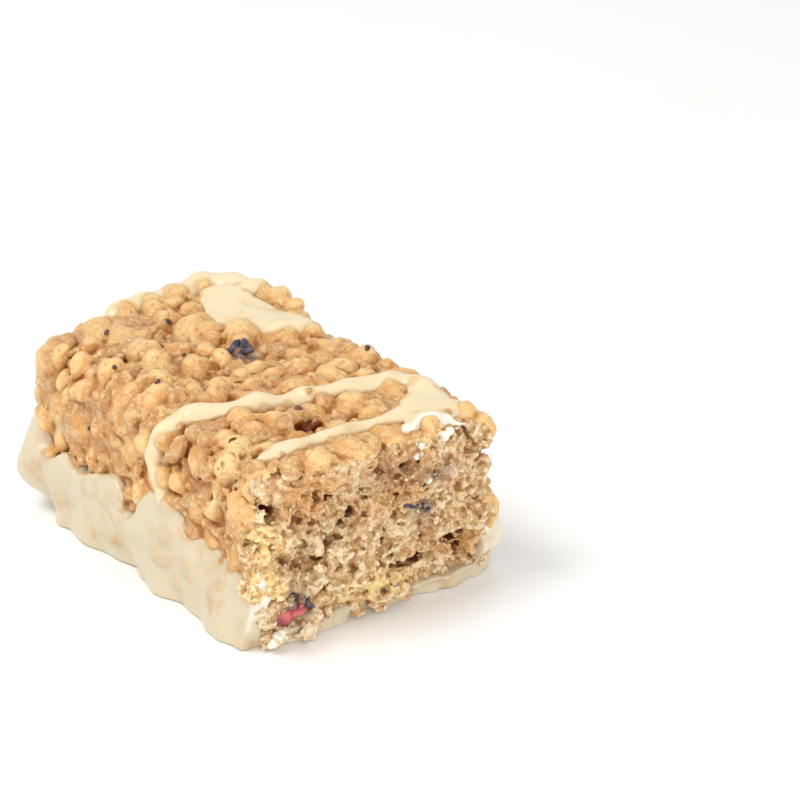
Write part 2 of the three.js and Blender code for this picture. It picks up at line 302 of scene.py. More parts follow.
# Drizzle: places on the sharp box that each strand runs over, with half its width there
DRIZZLE_LONG = on_top(
    (20.0, 12.6, 1.8), (15.4, 11.6, 1.8), (13.0, 3.0, 1.5), (10.4, -7.0, 1.4), (8.2, -14.0, 1.8)
) + (
    (5.7, -HALF_WIDTH, 20.2, 1.3),
    (4.8, -HALF_WIDTH, 17.0, 1.3),
    (5.5, -HALF_WIDTH, 13.8, 1.7),
    (6.4, -HALF_WIDTH, 11.6, 1.1),
)
DRIZZLE_SHORT = on_top(
    (21.2, 11.4, 1.5), (22.0, 6.0, 1.1), (21.9, -1.0, 0.95), (21.8, -7.2, 1.0), (21.9, -11.0, 1.3),
    (22.1, -13.4, 0.9),
)
DRIZZLE_PATCH = on_top((18.0, 13.0, 2.6), (22.0, 11.2, 3.4), (24.8, 8.6, 3.2), (26.6, 5.6, 2.0))
DRIZZLE_POOL = on_top(
    (-18.0, 9.3, 2.2), (-15.0, 9.2, 3.6), (-10.5, 9.0, 4.4), (-7.0, 9.8, 3.9), (-4.0, 11.6, 2.6)
)
DRIZZLE_GLAZE = on_top(
    (END_X, -3.0, 1.6), (END_X, 4.0, 2.2), (-24.0, 9.5, 2.6), (-20.0, 13.8, 2.6), (-16.5, 14.0, 2.2)
)
# Each strand with its height
DRIZZLE = (
    (DRIZZLE_LONG, 0.8),
    (DRIZZLE_SHORT, 0.75),
    (DRIZZLE_PATCH, 0.75),
    (DRIZZLE_POOL, 0.95),
    (DRIZZLE_GLAZE, 0.85),
)
STRAND_STEP = 0.4
DRIZZLE_BLUR = 0.7
DRIZZLE_SINK = 0.1
DRIZZLE_REACH = 2.0
DRIZZLE_PAST_CUT = 0.3
DRIZZLE_MELT = 0.1
RAGGED_X = (CUT_X - 2.2, CUT_X - 0.6)

# Stains round the berry pieces: place, reach along each axis and strength
BERRY_STAINS = (
    ((-1.6, 1.4, 23.6), (3.4, 3.4, 3.0), 0.8),
    ((CUT_X, -11.6, 4.4), (2.5, 4.4, 3.0), 0.85),
    ((CUT_X, -12.4, 7.6), (2.5, 3.4, 2.2), 0.5),
    ((CUT_X, 5.6, 12.7), (2.5, 3.4, 2.4), 0.75),
    ((CUT_X, 5.9, 10.6), (2.5, 3.6, 3.2), 0.4),
    ((CUT_X, 7.5, 17.0), (2.5, 5.5, 3.0), 0.55),
    ((CUT_X, 2.0, 18.0), (2.5, 9.0, 4.0), 0.42),
)

# Bits that stick to the block: place, half sizes and turn. One coordinate of each place is None,
# and the bit is seated there on the surface.
Bit = namedtuple("Bit", "place half_sizes turn")
BLUEBERRY_BITS = (
    Bit((-3.4, 1.6, None), (0.6, 1.4, 0.5), (0.3, 0.1, 0.3)),
    Bit((-2.6, 2.6, None), (0.7, 0.8, 0.45), (0.0, 0.4, 1.0)),
    Bit((-1.4, 1.3, None), (0.6, 0.9, 0.3), (0.5, 0.0, 2.0)),
    Bit((None, 4.3, 13.6), (0.3, 0.8, 0.3), (-0.3, 0.0, 0.0)),
    Bit((None, 5.6, 13.0), (0.35, 0.9, 0.5), (-0.7, 0.2, 0.0)),
    Bit((None, 7.0, 12.4), (0.3, 0.7, 0.3), (-0.2, 0.0, 0.2)),
    Bit((None, -11.4, 5.4), (0.3, 1.4, 0.35), (0.2, 0.0, 0.1)),
    Bit((None, -9.8, 4.4), (0.35, 0.6, 0.5), (0.4, 0.0, 0.0)),
)
RASPBERRY_BITS = (
    Bit((None, -12.6, 4.2), (0.5, 1.6, 0.85), (0.25, 0.0, 0.1)),
    Bit((None, -11.3, 4.3), (0.4, 0.9, 0.6), (0.5, 0.2, 0.0)),
    Bit((None, -13.4, 3.5), (0.35, 0.7, 0.4), (0.2, 0.2, 0.7)),
)
SEEDS = (
    Bit((-17.4, -8.4, None), (0.42, 0.62, 0.3), (0.2, 0.0, 0.9)),
    Bit((-14.4, -0.9, None), (0.4, 0.6, 0.32), (0.0, 0.3, 2.1)),
    Bit((0.6, -12.9, None), (0.3, 0.45, 0.3), (0.6, 0.0, 0.4)),
    Bit((-7.8, -13.6, None), (0.3, 0.4, 0.25), (0.5, 0.0, 1.4)),
    Bit((-4.8, -5.2, None), (0.25, 0.4, 0.22), (0.0, 0.0, 0.2)),
    Bit((8.0, 13.0, None), (0.35, 0.55, 0.3), (0.1, 0.2, 0.8)),
    Bit((16.5, -4.0, None), (0.3, 0.45, 0.25), (0.1, 0.1, 1.9)),
    Bit((None, 13.4, 3.6), (0.22, 0.3, 0.3), (0.1, 0.1, 0.2)),
    Bit((None, -7.2, 11.3), (0.22, 0.5, 0.25), (0.3, 0.1, 0.2)),
    Bit((None, -12.7, 6.6), (0.22, 0.3, 0.3), (0.1, 0.1, 0.5)),
    Bit((-9.0, None, 16.0), (0.4, 0.25, 0.3), (0.1, 0.4, 0.5)),
    Bit((14.0, None, 18.0), (0.3, 0.25, 0.4), (0.1, 0.8, 0.2)),
)
COAT_FLAKES = (
    Bit((None, -14.2, 2.0), (0.45, 0.7, 0.6), (0.6, 0.2, 0.1)),
    Bit((None, -15.0, 1.4), (0.4, 0.6, 0.4), (0.1, 0.5, 0.3)),
    Bit((None, -13.2, 1.3), (0.4, 0.5, 0.4), (0.9, 0.1, 0.7)),
    Bit((None, -2.6, 5.4), (0.35, 0.45, 0.35), (0.4, 0.9, 0.2)),
    Bit((None, 14.6, 7.4), (0.35, 0.4, 0.5), (0.4, 0.2, 0.6)),
    Bit((None, 6.5, 16.5), (0.3, 0.35, 0.3), (0.2, 0.7, 0.6)),
    Bit((None, 6.8, 20.9), (0.5, 1.4, 0.9), (0.3, 0.0, 0.1)),
    Bit((None, 8.8, 21.8), (0.5, 1.1, 0.7), (0.1, 0.2, 0.0)),
    Bit((None, 5.5, 19.7), (0.4, 0.7, 0.6), (0.6, 0.0, 0.3)),
)

# Pale flaky places: place, reach along each axis and strength
PALE_PLACES = (
    ((CUT_X, -15.2, 13.6), (5.5, 4.4, 4.4), 0.95),
    ((CUT_X, -15.5, 8.8), (4.5, 4.0, 3.6), 0.95),
    ((CUT_X, 0.0, 4.2), (3.0, 11.0, 3.6), 0.8),
    (POPPED_PLACE, (3.0, 3.0, 3.0), 0.9),
    ((17.2, -HALF_WIDTH, 16.4), (2.6, 2.6, 2.6), 0.9),
    ((END_X + 1.0, -12.5, 19.5), (6.0, 6.5, 6.0), 0.8),
    ((-17.0, -HALF_WIDTH, 13.5), (4.0, 3.0, 2.6), 0.6),
    ((CUT_X, 6.0, 21.0), (3.0, 4.0, 2.5), 0.5),
)
# Caramel-coloured stretches of the broken face, in the same form and endless along the bar
CARAMEL_PLACES = (
    ((CUT_X, 12.6, 5.4), (math.inf, 4.0, 4.0), 0.8),
    ((CUT_X, 6.0, 7.0), (math.inf, 4.0, 4.0), 0.5),
    ((CUT_X, -9.5, 18.5), (math.inf, 6.5, 6.5), 0.9),
    ((CUT_X, -1.0, 21.5), (math.inf, 5.0, 5.0), 0.6),
    ((CUT_X, 3.0, 17.4), (math.inf, 8.0, 8.0), 0.8),
    ((CUT_X, 11.0, 11.0), (math.inf, 4.0, 4.0), 0.35),
)

# From where to where looks of the surface come in, by depth, height or place, and their shares.
# Painted shade comes in with depth, in gaps and crevices, and painted highlights with height, on peaks and
# crowns
GAP_BLUR = 0.9
GAP_SHADE_FROM = (0.05, 0.9)
CROWN_HIGHLIGHT_FROM = (0.1, 0.5)
CREVICE_BLUR = 0.35
CREVICE_SHADE_FROM = (0.02, 0.2)
PEAK_HIGHLIGHT_FROM = (0.02, 0.16)
SYRUP_FROM = (0.05, 0.5)
STAIN_LEAST = 0.4
PATCH_FADE = (0.2, 1.0)
CARAMEL_FADE = (0.3, 1.0)
BARE_X = (CUT_X - 3.2, CUT_X - 2.0)
BARE_CORNER_Z = (13.0, 16.5)
BARE_BASE_Z = (2.0, 4.0)
COAT_OUTSIDE = (-0.2, 0.1)
COAT_THIN = (0.1, 0.7)
COAT_THIN_SHARE = 0.45
COAT_CHALK_X = (CUT_X - 2.0, CUT_X - 0.6)
COAT_CHALK_Z = (1.5, 4.0)
COAT_CHALK_SHARE = 0.5
NEAR_CHALK_SHARE = 0.3
DRIZZLE_THIN = (0.0, 0.4)
DRIZZLE_CHALK_X = (CUT_X - 1.5, CUT_X - 0.5)
DRIZZLE_CHALK_Y = (-1.0, 2.0)

# Boxes of the grids, their steps, and how far meshes may be thinned where they are flat
BAR_BOX = ((-31.5, -21.5, -0.8), (CUT_X + 3.5, 20.5, 26.5))
BAR_STEP = 0.22
FACE_BOX = ((BREAK_SEAM_X - CHIP_DEPTH - SEAM_OVERLAP - 0.5, -19.5, -0.3), (CUT_X + 3.0, 19.5, 26.0))
FACE_STEP = 0.15
BLOCK_THINNING = 0.02
FACE_THINNING = 0.05
COAT_THINNING = 0.005
SCRAP_SHARE = 0.02
FIELD_BAND = 3.0
SAMPLE_MARGIN = 1.001
NOISE_BOX = ((-33.0, 31.0), (-23.0, 22.0), (-3.0, 29.0))
NOISE_EVENNESS = 0.33
NOISE_SPARE_ROWS = 5

# How bits are seated and wrinkled
SEAT_STEPS = 900
SEAT_FROM = (CUT_X + 2.8, -20.4, 26.4)
BIT_STEPS = 9
BIT_ROOM = 1.5
BIT_SEED = 80
WRINKLE_SHARE = 0.5
WRINKLE_LEAST = 0.35

# The photograph's view: the aim point, in millimetres, lands on its pixel of the square frame
PHOTO_SIZE = 800
CAMERA_AZIMUTH = math.radians(53.8)
CAMERA_ELEVATION = math.radians(26.4)
CAMERA_DISTANCE = 350.0
CAMERA_CLIP = 0.01
AIM = Vector((1.1, 0.0, 10.0))
AIM_PIXEL = (247.1, 459.2)
PIXELS_PER_MM = 8.293
SENSOR = 36.0

# Floor, world and soft lights: name, place in metres, watts and width
FLOOR_REACH = 3.0
FLOOR_Z = -0.00001
WORLD_STRENGTH = 0.8
SOFT_LIGHTS = (
    ("key", (-0.12, -0.3, 0.55), 1.9, 0.25),
    ("fill", (0.45, -0.16, 0.12), 0.9, 0.3),
)

Ball = namedtuple("Ball", "centre radius stretch turn tone")


def smoothstep(value, low, high):
    share = np.clip((value - low) / (high - low), 0.0, 1.0)
    return share * share * (3.0 - 2.0 * share)


def smooth_min(a, b, melt):
    """The lower of two distances, melted together over a width."""
    share = np.clip(0.5 + 0.5 * (b - a) / melt, 0.0, 1.0)
    return b + (a - b) * share - melt * share * (1.0 - share)


def smooth_max(a, b, melt):
    return -smooth_min(-a, -b, melt)


def settled(points):
    """Moves points of the straight bar to where they settle, leaving the base flat."""
    x, y, z = points.T
    share = (x - END_X) / (CUT_X - END_X)
    skew = END_SKEW + (CUT_SKEW - END_SKEW) * share
    lean = END_LEAN * (1.0 - share) ** 3 * z / TOP_Z
    droop = 1.0 - DROOP_DEPTH * smoothstep(share, DROOP_START, 1.0)
    return np.stack([x + y * skew + lean, y * (1.0 - DRAFT * z / TOP_Z), z * droop], axis=1)


def chip(y, z):
    """How far the near upper corner of the break is chipped back."""
    return CHIP_DEPTH * smoothstep(-y, CHIP_FROM_Y, HALF_WIDTH) * smoothstep(z, CHIP_LOW_Z, CHIP_FULL_Z)


# Seeded layout

def seeded_draw(seed):
    """Numbers from one seeded sequence, each between low and high."""
    state = seed

    def draw(low, high):
        nonlocal state
        state = (DRAW_FACTOR * state + DRAW_STEP) % DRAW_RANGE
        return low + (high - low) * state / DRAW_RANGE

    return draw


def on_skin(place):
    """A place on the sharp box moved onto its rounded skin, and the outward direction there."""
    inner_low = np.array([END_X, -HALF_WIDTH, -TOP_Z]) + EDGE_RADIUS
    inner_high = np.array([CUT_X, HALF_WIDTH - EDGE_RADIUS, TOP_Z - EDGE_RADIUS])
    place = np.array(place, float)
    inner = np.clip(place, inner_low, inner_high)
    out = place - inner
    length = np.linalg.norm(out)
    if length == 0.0:
        return inner, np.array([1.0, 0.0, 0.0])
    return inner + out / length * EDGE_RADIUS, out / length


def pick_outer_place(draw):
    face = draw(0, 1)
    along = draw(END_X, CUT_X - BREAK_MARGIN)
    across = draw(-HALF_WIDTH, HALF_WIDTH)
    up = draw(LOWEST_CRISP_Z, TOP_Z)
    if face < TOP_SHARE:
        return on_skin((along, across, TOP_Z))
    if face < TOP_SHARE + SIDE_SHARE:
        return on_skin((along, -HALF_WIDTH, up))
    if face < TOP_SHARE + 2 * SIDE_SHARE:
        return on_skin((along, HALF_WIDTH, up))
    return on_skin((END_X, across, up))


def pick_break_place(draw):
    across = draw(BREAK_INSET - HALF_WIDTH, HALF_WIDTH - BREAK_INSET)
    up = draw(BASE_THICKNESS + BREAK_INSET, TOP_Z - BREAK_INSET)
    return np.array([CUT_X, across, up]), np.array([1.0, 0.0, 0.0])


def scatter_crisps(tiers, seed, pick_place):
    """Crisps on given faces, never closer than their spacing allows."""
    draw = seeded_draw(seed)
    tones = np.random.default_rng(seed)
    placed = []
    centres = np.zeros((0, 3))
    radii = np.zeros(0)
    for tier in tiers:
        for _ in range(tier.tries):
            point, out = pick_place(draw)
            radius = draw(tier.low, tier.high)
            lift = draw(*tier.lift)
            stretch = [draw(*CRISP_STRETCH) for _ in range(3)]
            turn = [draw(0, math.pi) for _ in range(3)]
            centre = point + out * (lift - radius)
            gaps = np.linalg.norm(centres - centre, axis=1)
            if np.all(gaps > tier.spacing * (radii + radius)):
                placed.append(Ball(centre, radius, stretch, turn, tones.uniform()))
                centres = np.vstack([centres, centre])
                radii = np.append(radii, radius)
    return placed


# Distances on a grid

class Grid:
    """Even steps through a box of the straight bar."""

    def __init__(self, low, high, step):
        self.low = np.array(low, np.float32)
        self.step = step
        counts = np.ceil((np.array(high) - self.low) / step).astype(int) + 1
        self.axes = [np.float32(a + step * np.arange(n)) for a, n in zip(low, counts)]
        self.shape = tuple(counts)
        self.x, self.y, self.z = np.meshgrid(*self.axes, indexing="ij", sparse=True)
        self.to_break = self.x + chip(self.y, self.z)
        self.warp = None

    def around(self, centre, reach):
        """Slices of the points within reach of a centre along each axis."""
        first = np.floor((centre - reach - self.low) / self.step).astype(int)
        last = np.ceil((centre + reach - self.low) / self.step).astype(int) + 1
        return tuple(slice(max(a, 0), max(b, 0)) for a, b in zip(first, last))

    def offsets(self, window, centre):
        """Distances from a centre along each axis, warped where the grid has a warp."""
        parts = [axis[cut] - c for axis, cut, c in zip(self.axes, window, np.float32(centre))]
        apart = np.meshgrid(*parts, indexing="ij", sparse=True)
        if self.warp is None:
            return apart
        return [part + shift[window] for part, shift in zip(apart, self.warp)]

    def sample(self, values, points):
        """Values between grid points, at given points."""
        place = (points - self.low) / self.step
        place = np.clip(place, 0.0, np.array(self.shape) - SAMPLE_MARGIN)
        base = place.astype(int)
        share = place - base
        total = np.zeros(len(points))
        for corner in np.ndindex(2, 2, 2):
            weight = np.prod(np.where(corner, share, 1.0 - share), axis=1)
            total += weight * values[tuple((base + corner).T)]
        return total


def spline_mix(values, axis, places):
    """Smooth values between the even rows of a coarse axis, at places counted in rows."""
    first = np.floor(places).astype(int)
    t = np.float32(places - first)
    weights = (
        (1 - t) ** 3 / 6,
        (3 * t**3 - 6 * t**2 + 4) / 6,
        (-3 * t**3 + 3 * t**2 + 3 * t + 1) / 6,
        t**3 / 6,
    )
    line = [1, 1, 1]
    line[axis] = len(places)
    return sum(np.take(values, first + k, axis) * w.reshape(line) for k, w in enumerate(weights))


def noise(grid, cell, seed):
    """Smooth random swells about as wide as the cell, with a spread of about 1."""
    counts = [int((high - low) / cell) + NOISE_SPARE_ROWS for low, high in NOISE_BOX]
    values = np.random.default_rng(seed).standard_normal(counts, dtype=np.float32) / NOISE_EVENNESS
    for axis, (low, _) in enumerate(NOISE_BOX):
        values = spline_mix(values, axis, (grid.axes[axis] - low) / cell)
    return values


def swell(grid, layer, share=1.0):
    """A random swell, or a share of it."""
    return layer.height * share * noise(grid, layer.width, layer.seed)


def blurred(grid, field, spread, limit=None):
    """The field with detail finer than the spread smoothed away, by three running means. Distances
    beyond the limit, three spreads unless it is given, don't count for more."""
    limit = limit or 3 * spread
    half = max(1, round(spread / grid.step))
    width = 2 * half + 1
    field = np.clip(field, -limit, limit)
    for axis in (0, 1, 2) * 3:
        edges = [(0, 0)] * 3
        edges[axis] = (half + 1, half)
        sums = np.cumsum(np.pad(field, edges, mode="edge"), axis=axis)
        count = field.shape[axis]
        ahead = np.take(sums, range(width, width + count), axis)
        field = (ahead - np.take(sums, range(count), axis)) / width
    return field


def rounded_box(grid, low, high, radius):
    reach = []
    for axis, a, b in zip((grid.x, grid.y, grid.z), low, high):
        reach.append(np.abs(axis - (a + b) / 2) - ((b - a) / 2 - radius))
    inside = np.minimum(np.maximum(np.maximum(reach[0], reach[1]), reach[2]), 0.0)
    outside = np.sqrt(sum(np.maximum(part, 0.0) ** 2 for part in reach))
    return outside + inside - radius


def ball_distance(grid, window, ball):
    dx, dy, dz = grid.offsets(window, ball.centre)
    turn = np.array(Euler(ball.turn, "ZYX").to_matrix(), np.float32)
    squares = 0.0
    for k in range(3):
        along = turn[0, k] * dx + turn[1, k] * dy + turn[2, k] * dz
        squares = squares + (along / ball.stretch[k]) ** 2
    return np.sqrt(squares) - ball.radius


def add_balls(grid, field, balls, melt, tint=None):
    """Melts balls into a field. The tint keeps the nearest ball's distance and tone."""
    for ball in balls:
        window = grid.around(ball.centre, ball.radius * CRISP_STRETCH[1] + 2 * melt)
        distance = ball_distance(grid, window, ball)
        field[window] = smooth_min(field[window], distance, melt)
        if tint is not None:
            nearest, tone = tint
            closer = distance < nearest[window]
            nearest[window][closer] = distance[closer]
            tone[window][closer] = ball.tone


def cut_balls(grid, field, balls, melt):
    for ball in balls:
        window = grid.around(ball.centre, ball.radius * CRISP_STRETCH[1] + 2 * melt)
        field[window] = smooth_max(field[window], -ball_distance(grid, window, ball), melt)


def random_balls(crumbs, pick_place):
    """Small uneven balls at places from a function of a random generator and a radius."""
    rng = np.random.default_rng(crumbs.seed)
    balls = []
    for _ in range(crumbs.count):
        radius = rng.uniform(*crumbs.radius)
        stretch = rng.uniform(*CRUMB_STRETCH, 3)
        turn = rng.uniform(0.0, math.pi, 3)
        balls.append(Ball(pick_place(rng, radius), radius, stretch, turn, rng.uniform()))
    return balls


# The crisp block

SCATTERED = scatter_crisps(CRISP_TIERS + FILL_TIERS, CRISP_SEED, pick_outer_place)
CRISPS = [ball._replace(radius=min(ball.radius, LONGEST_CRISP / max(ball.stretch)))
          for ball in SCATTERED if ball.radius >= CRISP_TIERS[-1].low]
FILL = [ball for ball in SCATTERED if ball.radius < CRISP_TIERS[-1].low]
BREAK_CRISPS = scatter_crisps(BREAK_TIERS, BREAK_SEED, pick_break_place)
CRISPS += [Ball(np.array(place), radius, STANDING_STRETCH, (*STANDING_TURN, k), STANDING_TONE)
           for k, (place, radius) in enumerate(STANDING_CRISPS)]
CRISPS.append(Ball(np.array(POPPED_PLACE), POPPED_RADIUS, POPPED_STRETCH, POPPED_TURN, POPPED_TONE))


def on_popped_crisp(rng, radius):
    """A place on the shell of the popped crisp."""
    out = rng.normal(size=3)
    return POPPED_PLACE + out / np.linalg.norm(out) * (POPPED_RADIUS + POPPED_PORE_OUT * radius)


POPPED_OPENINGS = random_balls(POPPED_PORES, on_popped_crisp)


def syrup(grid):
    """The mass that holds the crisps together, a little below their tops."""
    low = (END_X + SYRUP_DEPTH, SYRUP_DEPTH - HALF_WIDTH, BASE_THICKNESS)
    high = (CUT_X + SYRUP_PAST_CUT, HALF_WIDTH - SYRUP_DEPTH, TOP_Z - SYRUP_DEPTH)
    return rounded_box(grid, low, high, EDGE_RADIUS - SYRUP_DEPTH) + swell(grid, SYRUP_SWELL)


def skin_relief(grid):
    """Lumps and fine wrinkles of puffed skin, negative where they stand out."""
    return SKIN_SINK - np.abs(swell(grid, SKIN_LUMPS)) - np.abs(swell(grid, SKIN_WRINKLES))


def new_tint(grid):
    """Distance to the nearest ball and its tone, for add_balls to keep."""
    return np.full(grid.shape, NO_CRISP_NEAR, np.float32), np.full(grid.shape, MIDDLE_TONE, np.float32)


def oval_way(first, second, oval):
    """Square of the way from the middle of an oval, 1 on its edge."""
    middle_first, middle_second, half_first, half_second = oval
    return ((first - middle_first) / half_first) ** 2 + ((second - middle_second) / half_second) ** 2


def break_holes(x, y, z):
    """For each hole of the broken face, the square of the way from its middle, the depth below the
    face and the hole's least radius."""
    depth = CUT_X - BREAK_BACK - x - chip(y, z)
    return [(oval_way(y, z, hole), depth, min(hole[2:])) for hole in BREAK_HOLES]


def top_holes(x, y, z):
    """The same for the holes of the top."""
    return [(oval_way(x, y, hole), TOP_Z - z, min(hole[2:])) for hole in TOP_HOLES]


def shaded_holes(holes):
    """1 inside holes, soft at their mouths, where painted shade darkens them."""
    inside = 0.0
    for apart, depth, _ in holes:
        inside = np.maximum(inside, (1.0 - smoothstep(apart, *HOLE_EDGE)) * smoothstep(depth, *HOLE_MOUTH))
    return inside


def pitted(grid, field, holes):
    """Cuts holes with uneven walls."""
    uneven = swell(grid, HOLE_SWELL)
    for apart, depth, radius in holes(grid.x, grid.y, grid.z):
        way = np.sqrt(apart + (np.clip(depth, 0.0, None) / HOLE_DEPTH) ** 2) - HOLE_GROWTH
        field = smooth_max(field, -(radius * way + uneven), HOLE_MELT)
    return field


def bound_crisps(grid, mass, tint):
    """Uneven crisps and the smaller bits between them, melted into a mass of syrup."""
    field = mass.copy()
    grid.warp = [swell(grid, warp) for warp in CRISP_WARPS]
    add_balls(grid, field, FILL, FILL_MELT)
    add_balls(grid, field, CRISPS, CRISP_MELT, tint)
    cut_balls(grid, field, POPPED_OPENINGS, POPPED_PORES.melt)
    grid.warp = None
    return pitted(grid, field, top_holes) + skin_relief(grid)


def broken_mass(grid, mass):
    """The mass broken off at the cut with a rough face, and lumps that stand out of it."""
    face = CUT_X - BREAK_BACK + swell(grid, BREAK_SWELL) + swell(grid, BREAK_LUMPS)
    for *oval, out in BREAK_FORMS:
        face = face + out * np.exp(-FORM_FALL * oval_way(grid.y, grid.z, oval))
    field = smooth_max(mass, grid.to_break - face, BREAK_MELT)
    add_balls(grid, field, BREAK_CRISPS, BREAK_CRISP_MELT)
    return field


def face_x(grid, field):
    """Where the broken face lies along X, for each row of Y and Z."""
    return grid.axes[0][0] + grid.step * (field < 0).sum(axis=0)


def face_place(grid, front, out):
    """A function that picks places on the broken face, within a range of ways out of it."""
    def pick(rng, radius):
        row = rng.integers(front.shape[0])
        up = rng.integers(front.shape[1])
        x = front[row, up] + rng.uniform(*out) - radius
        return np.array([x, grid.axes[1][row], grid.axes[2][up]])

    return pick


def clump_place(across, up, spread):
    """A function that picks places in a clump at the near edge of the break."""
    def pick(rng, radius):
        y = across + rng.normal(0.0, CLUMP_NARROWNESS * spread)
        z = up + rng.normal(0.0, spread)
        x = CUT_X - chip(y, z) + rng.uniform(*CLUMP_OUT) - CLUMP_SINK * radius
        return np.array([x, y, z])

    return pick


def over_base(rng, radius):
    """A place at the broken edge of the base, near one where crumbs gather."""
    across = rng.choice(EDGE_CRUMB_PLACES) + rng.normal(0.0, EDGE_CRUMB_SPREAD)
    x = CUT_X + rng.uniform(*EDGE_CRUMB_OUT) - radius
    return np.array([x, across, rng.uniform(*EDGE_CRUMB_Z)])


def crumbly(grid, field, tint):
    """Roughens the broken face with grains, crumbs at its foot, clumps of small crisps and pores."""
    front = face_x(grid, field)
    lumps = [(GRAINS, face_place(grid, front, GRAIN_OUT)), (EDGE_CRUMBS, over_base)]
    for number, (across, up, spread, count) in enumerate(CLUMPS):
        clump = Crumbs(CLUMP_SEED + number, count, CLUMP_CRISP_RADIUS, CLUMP_MELT)
        lumps.append((clump, clump_place(across, up, spread)))
    for crumbs, pick_place in lumps:
        add_balls(grid, field, random_balls(crumbs, pick_place), crumbs.melt, tint)
    pores = random_balls(PORES, face_place(grid, front, PORE_OUT))
    cut_balls(grid, field, pores, PORES.melt)
    return field


# The coating

def wave_at(wave, distance, side):
    return wave.height * np.sin(wave.turn * distance + wave.shift + wave.side_shift * side)


def eased(knots, place):
    """Value at a place between knots, with a soft turn at each knot."""
    places, values = np.array(knots).T
    before = np.clip(np.searchsorted(places, place) - 1, 0, len(places) - 2)
    share = smoothstep(place, places[before], places[before + 1])
    return np.float32(values[before] + (values[before + 1] - values[before]) * share)


def near_side(y):
    """1 on the near long side, 0 on the far one."""
    return smoothstep(-y, *NEAR_SIDE_Y)


def rim_height(x, y):
    """Height of the coating's rim at a place on its wall."""
    side = np.sign(y)
    along_side = sum(wave_at(wave, x, side) for wave in RIM_WAVES)
    far = RIM_Z - RIM_FALL * x + along_side + wave_at(RIM_END_WAVE, y, side)
    far = far + END_RIM_RISE * smoothstep(-x, *END_RIM_X)
    near = eased(NEAR_RIM, x)
    return far + (near - far) * near_side(y)


def bulged(bulge, share, z):
    """How far a bulge stands out at a height, or a share of it."""
    return bulge.out * share * np.exp(-(((z - bulge.middle_z) / bulge.half_height) ** 2))


def coating_thickness(grid):
    """How thick the coating is below its rim: swells and bulges of the wall, and a spread foot."""
    height = np.clip(grid.z, 0.0, None)
    under = np.clip(FOOT_ROUNDING - height, 0.0, None)
    rounding = FOOT_ROUNDING - np.sqrt(np.clip(FOOT_ROUNDING**2 - under**2, 0.0, None))
    side = np.sign(grid.y)
    wave = wave_at(WALL_WAVE, grid.x, side) + wave_at(WALL_END_WAVE, grid.y, side)
    wave = wave + swell(grid, WALL_SWELL)
    at_end = smoothstep(-grid.x, *END_BULGE_X)
    at_far_corner = smoothstep(grid.y, *FAR_BULGE_Y) * smoothstep(grid.x, *FAR_BULGE_X)
    bulges = bulged(END_BULGE, at_end, grid.z) + bulged(FAR_BULGE, at_far_corner, grid.z)
    at_foot = 1.0 - smoothstep(height, *FOOT_FADE_Z)
    foot = (FOOT_SPREAD + near_side(grid.y) * eased(NEAR_FOOT, grid.x)) * at_foot
    thickness = COAT_THICKNESS + swell(grid, COAT_SWELL) + bulges
    return thickness + wave * (WALL_SHARE + FOOT_SHARE * at_foot) + foot - rounding


def coating_field(grid, block):
    """A tray that follows the crisps loosely, thins out at an uneven rim and spreads at its foot."""
    soft = blurred(grid, block, COAT_BLUR, COAT_REACH)
    straight_row = int((STRAIGHT_BELOW_Z - grid.low[2]) / grid.step)
    soft[:, :, :straight_row] = soft[:, :, straight_row:straight_row + 1]
    below_rim = rim_height(grid.x, grid.y) + swell(grid, RIM_SWELL) - grid.z
    thickness = (coating_thickness(grid) + COAT_GONE) * smoothstep(below_rim, *RIM_FADE) - COAT_GONE
    cover = block - COAT_LEAST + COVER_FALL * (1.0 - smoothstep(below_rim, *COVER_FADE))
    room = np.maximum(soft + COAT_INSIDE, BASE_THICKNESS + BASE_ROOM - grid.z)
    field = smooth_max(smooth_min(soft - thickness, cover, COVER_MELT), -room, ROOM_MELT)
    field = smooth_max(field, -grid.z, BASE_MELT)
    face = CUT_X + COAT_PAST_CUT + swell(grid, COAT_BREAK_SWELL) + swell(grid, COAT_BREAK_GRAIN)
    for back, side, across, up in COAT_BREAKS:
        face = face - back * smoothstep(side * grid.y, *across) * (1.0 - smoothstep(grid.z, *up))
    return smooth_max(field, grid.to_break - face, COAT_BREAK_MELT)


# Drizzle

def strand_points(strand):
    """Points close together on a smooth line over the skin, with directions and half widths."""
    knots = np.array(strand)
    turns = np.arange(len(knots))
    lengths = np.linalg.norm(np.diff(knots[:, :3], axis=0), axis=1)
    shares = np.concatenate([np.arange(k, k + 1, STRAND_STEP / length) for k, length in enumerate(lengths)])
    shares = np.append(shares, turns[-1])
    ahead = np.clip(np.floor(shares).astype(int), 0, len(knots) - 2)
    t = (shares - ahead)[:, None]
    rows = [knots[np.clip(ahead + k, 0, turns[-1])] for k in (-1, 0, 1, 2)]
    places = 0.5 * (
        2 * rows[1]
        + (rows[2] - rows[0]) * t
        + (2 * rows[0] - 5 * rows[1] + 4 * rows[2] - rows[3]) * t**2
        + (3 * rows[1] - rows[0] - 3 * rows[2] + rows[3]) * t**3
    )
    return [(*on_skin(place[:3]), place[3]) for place in places]


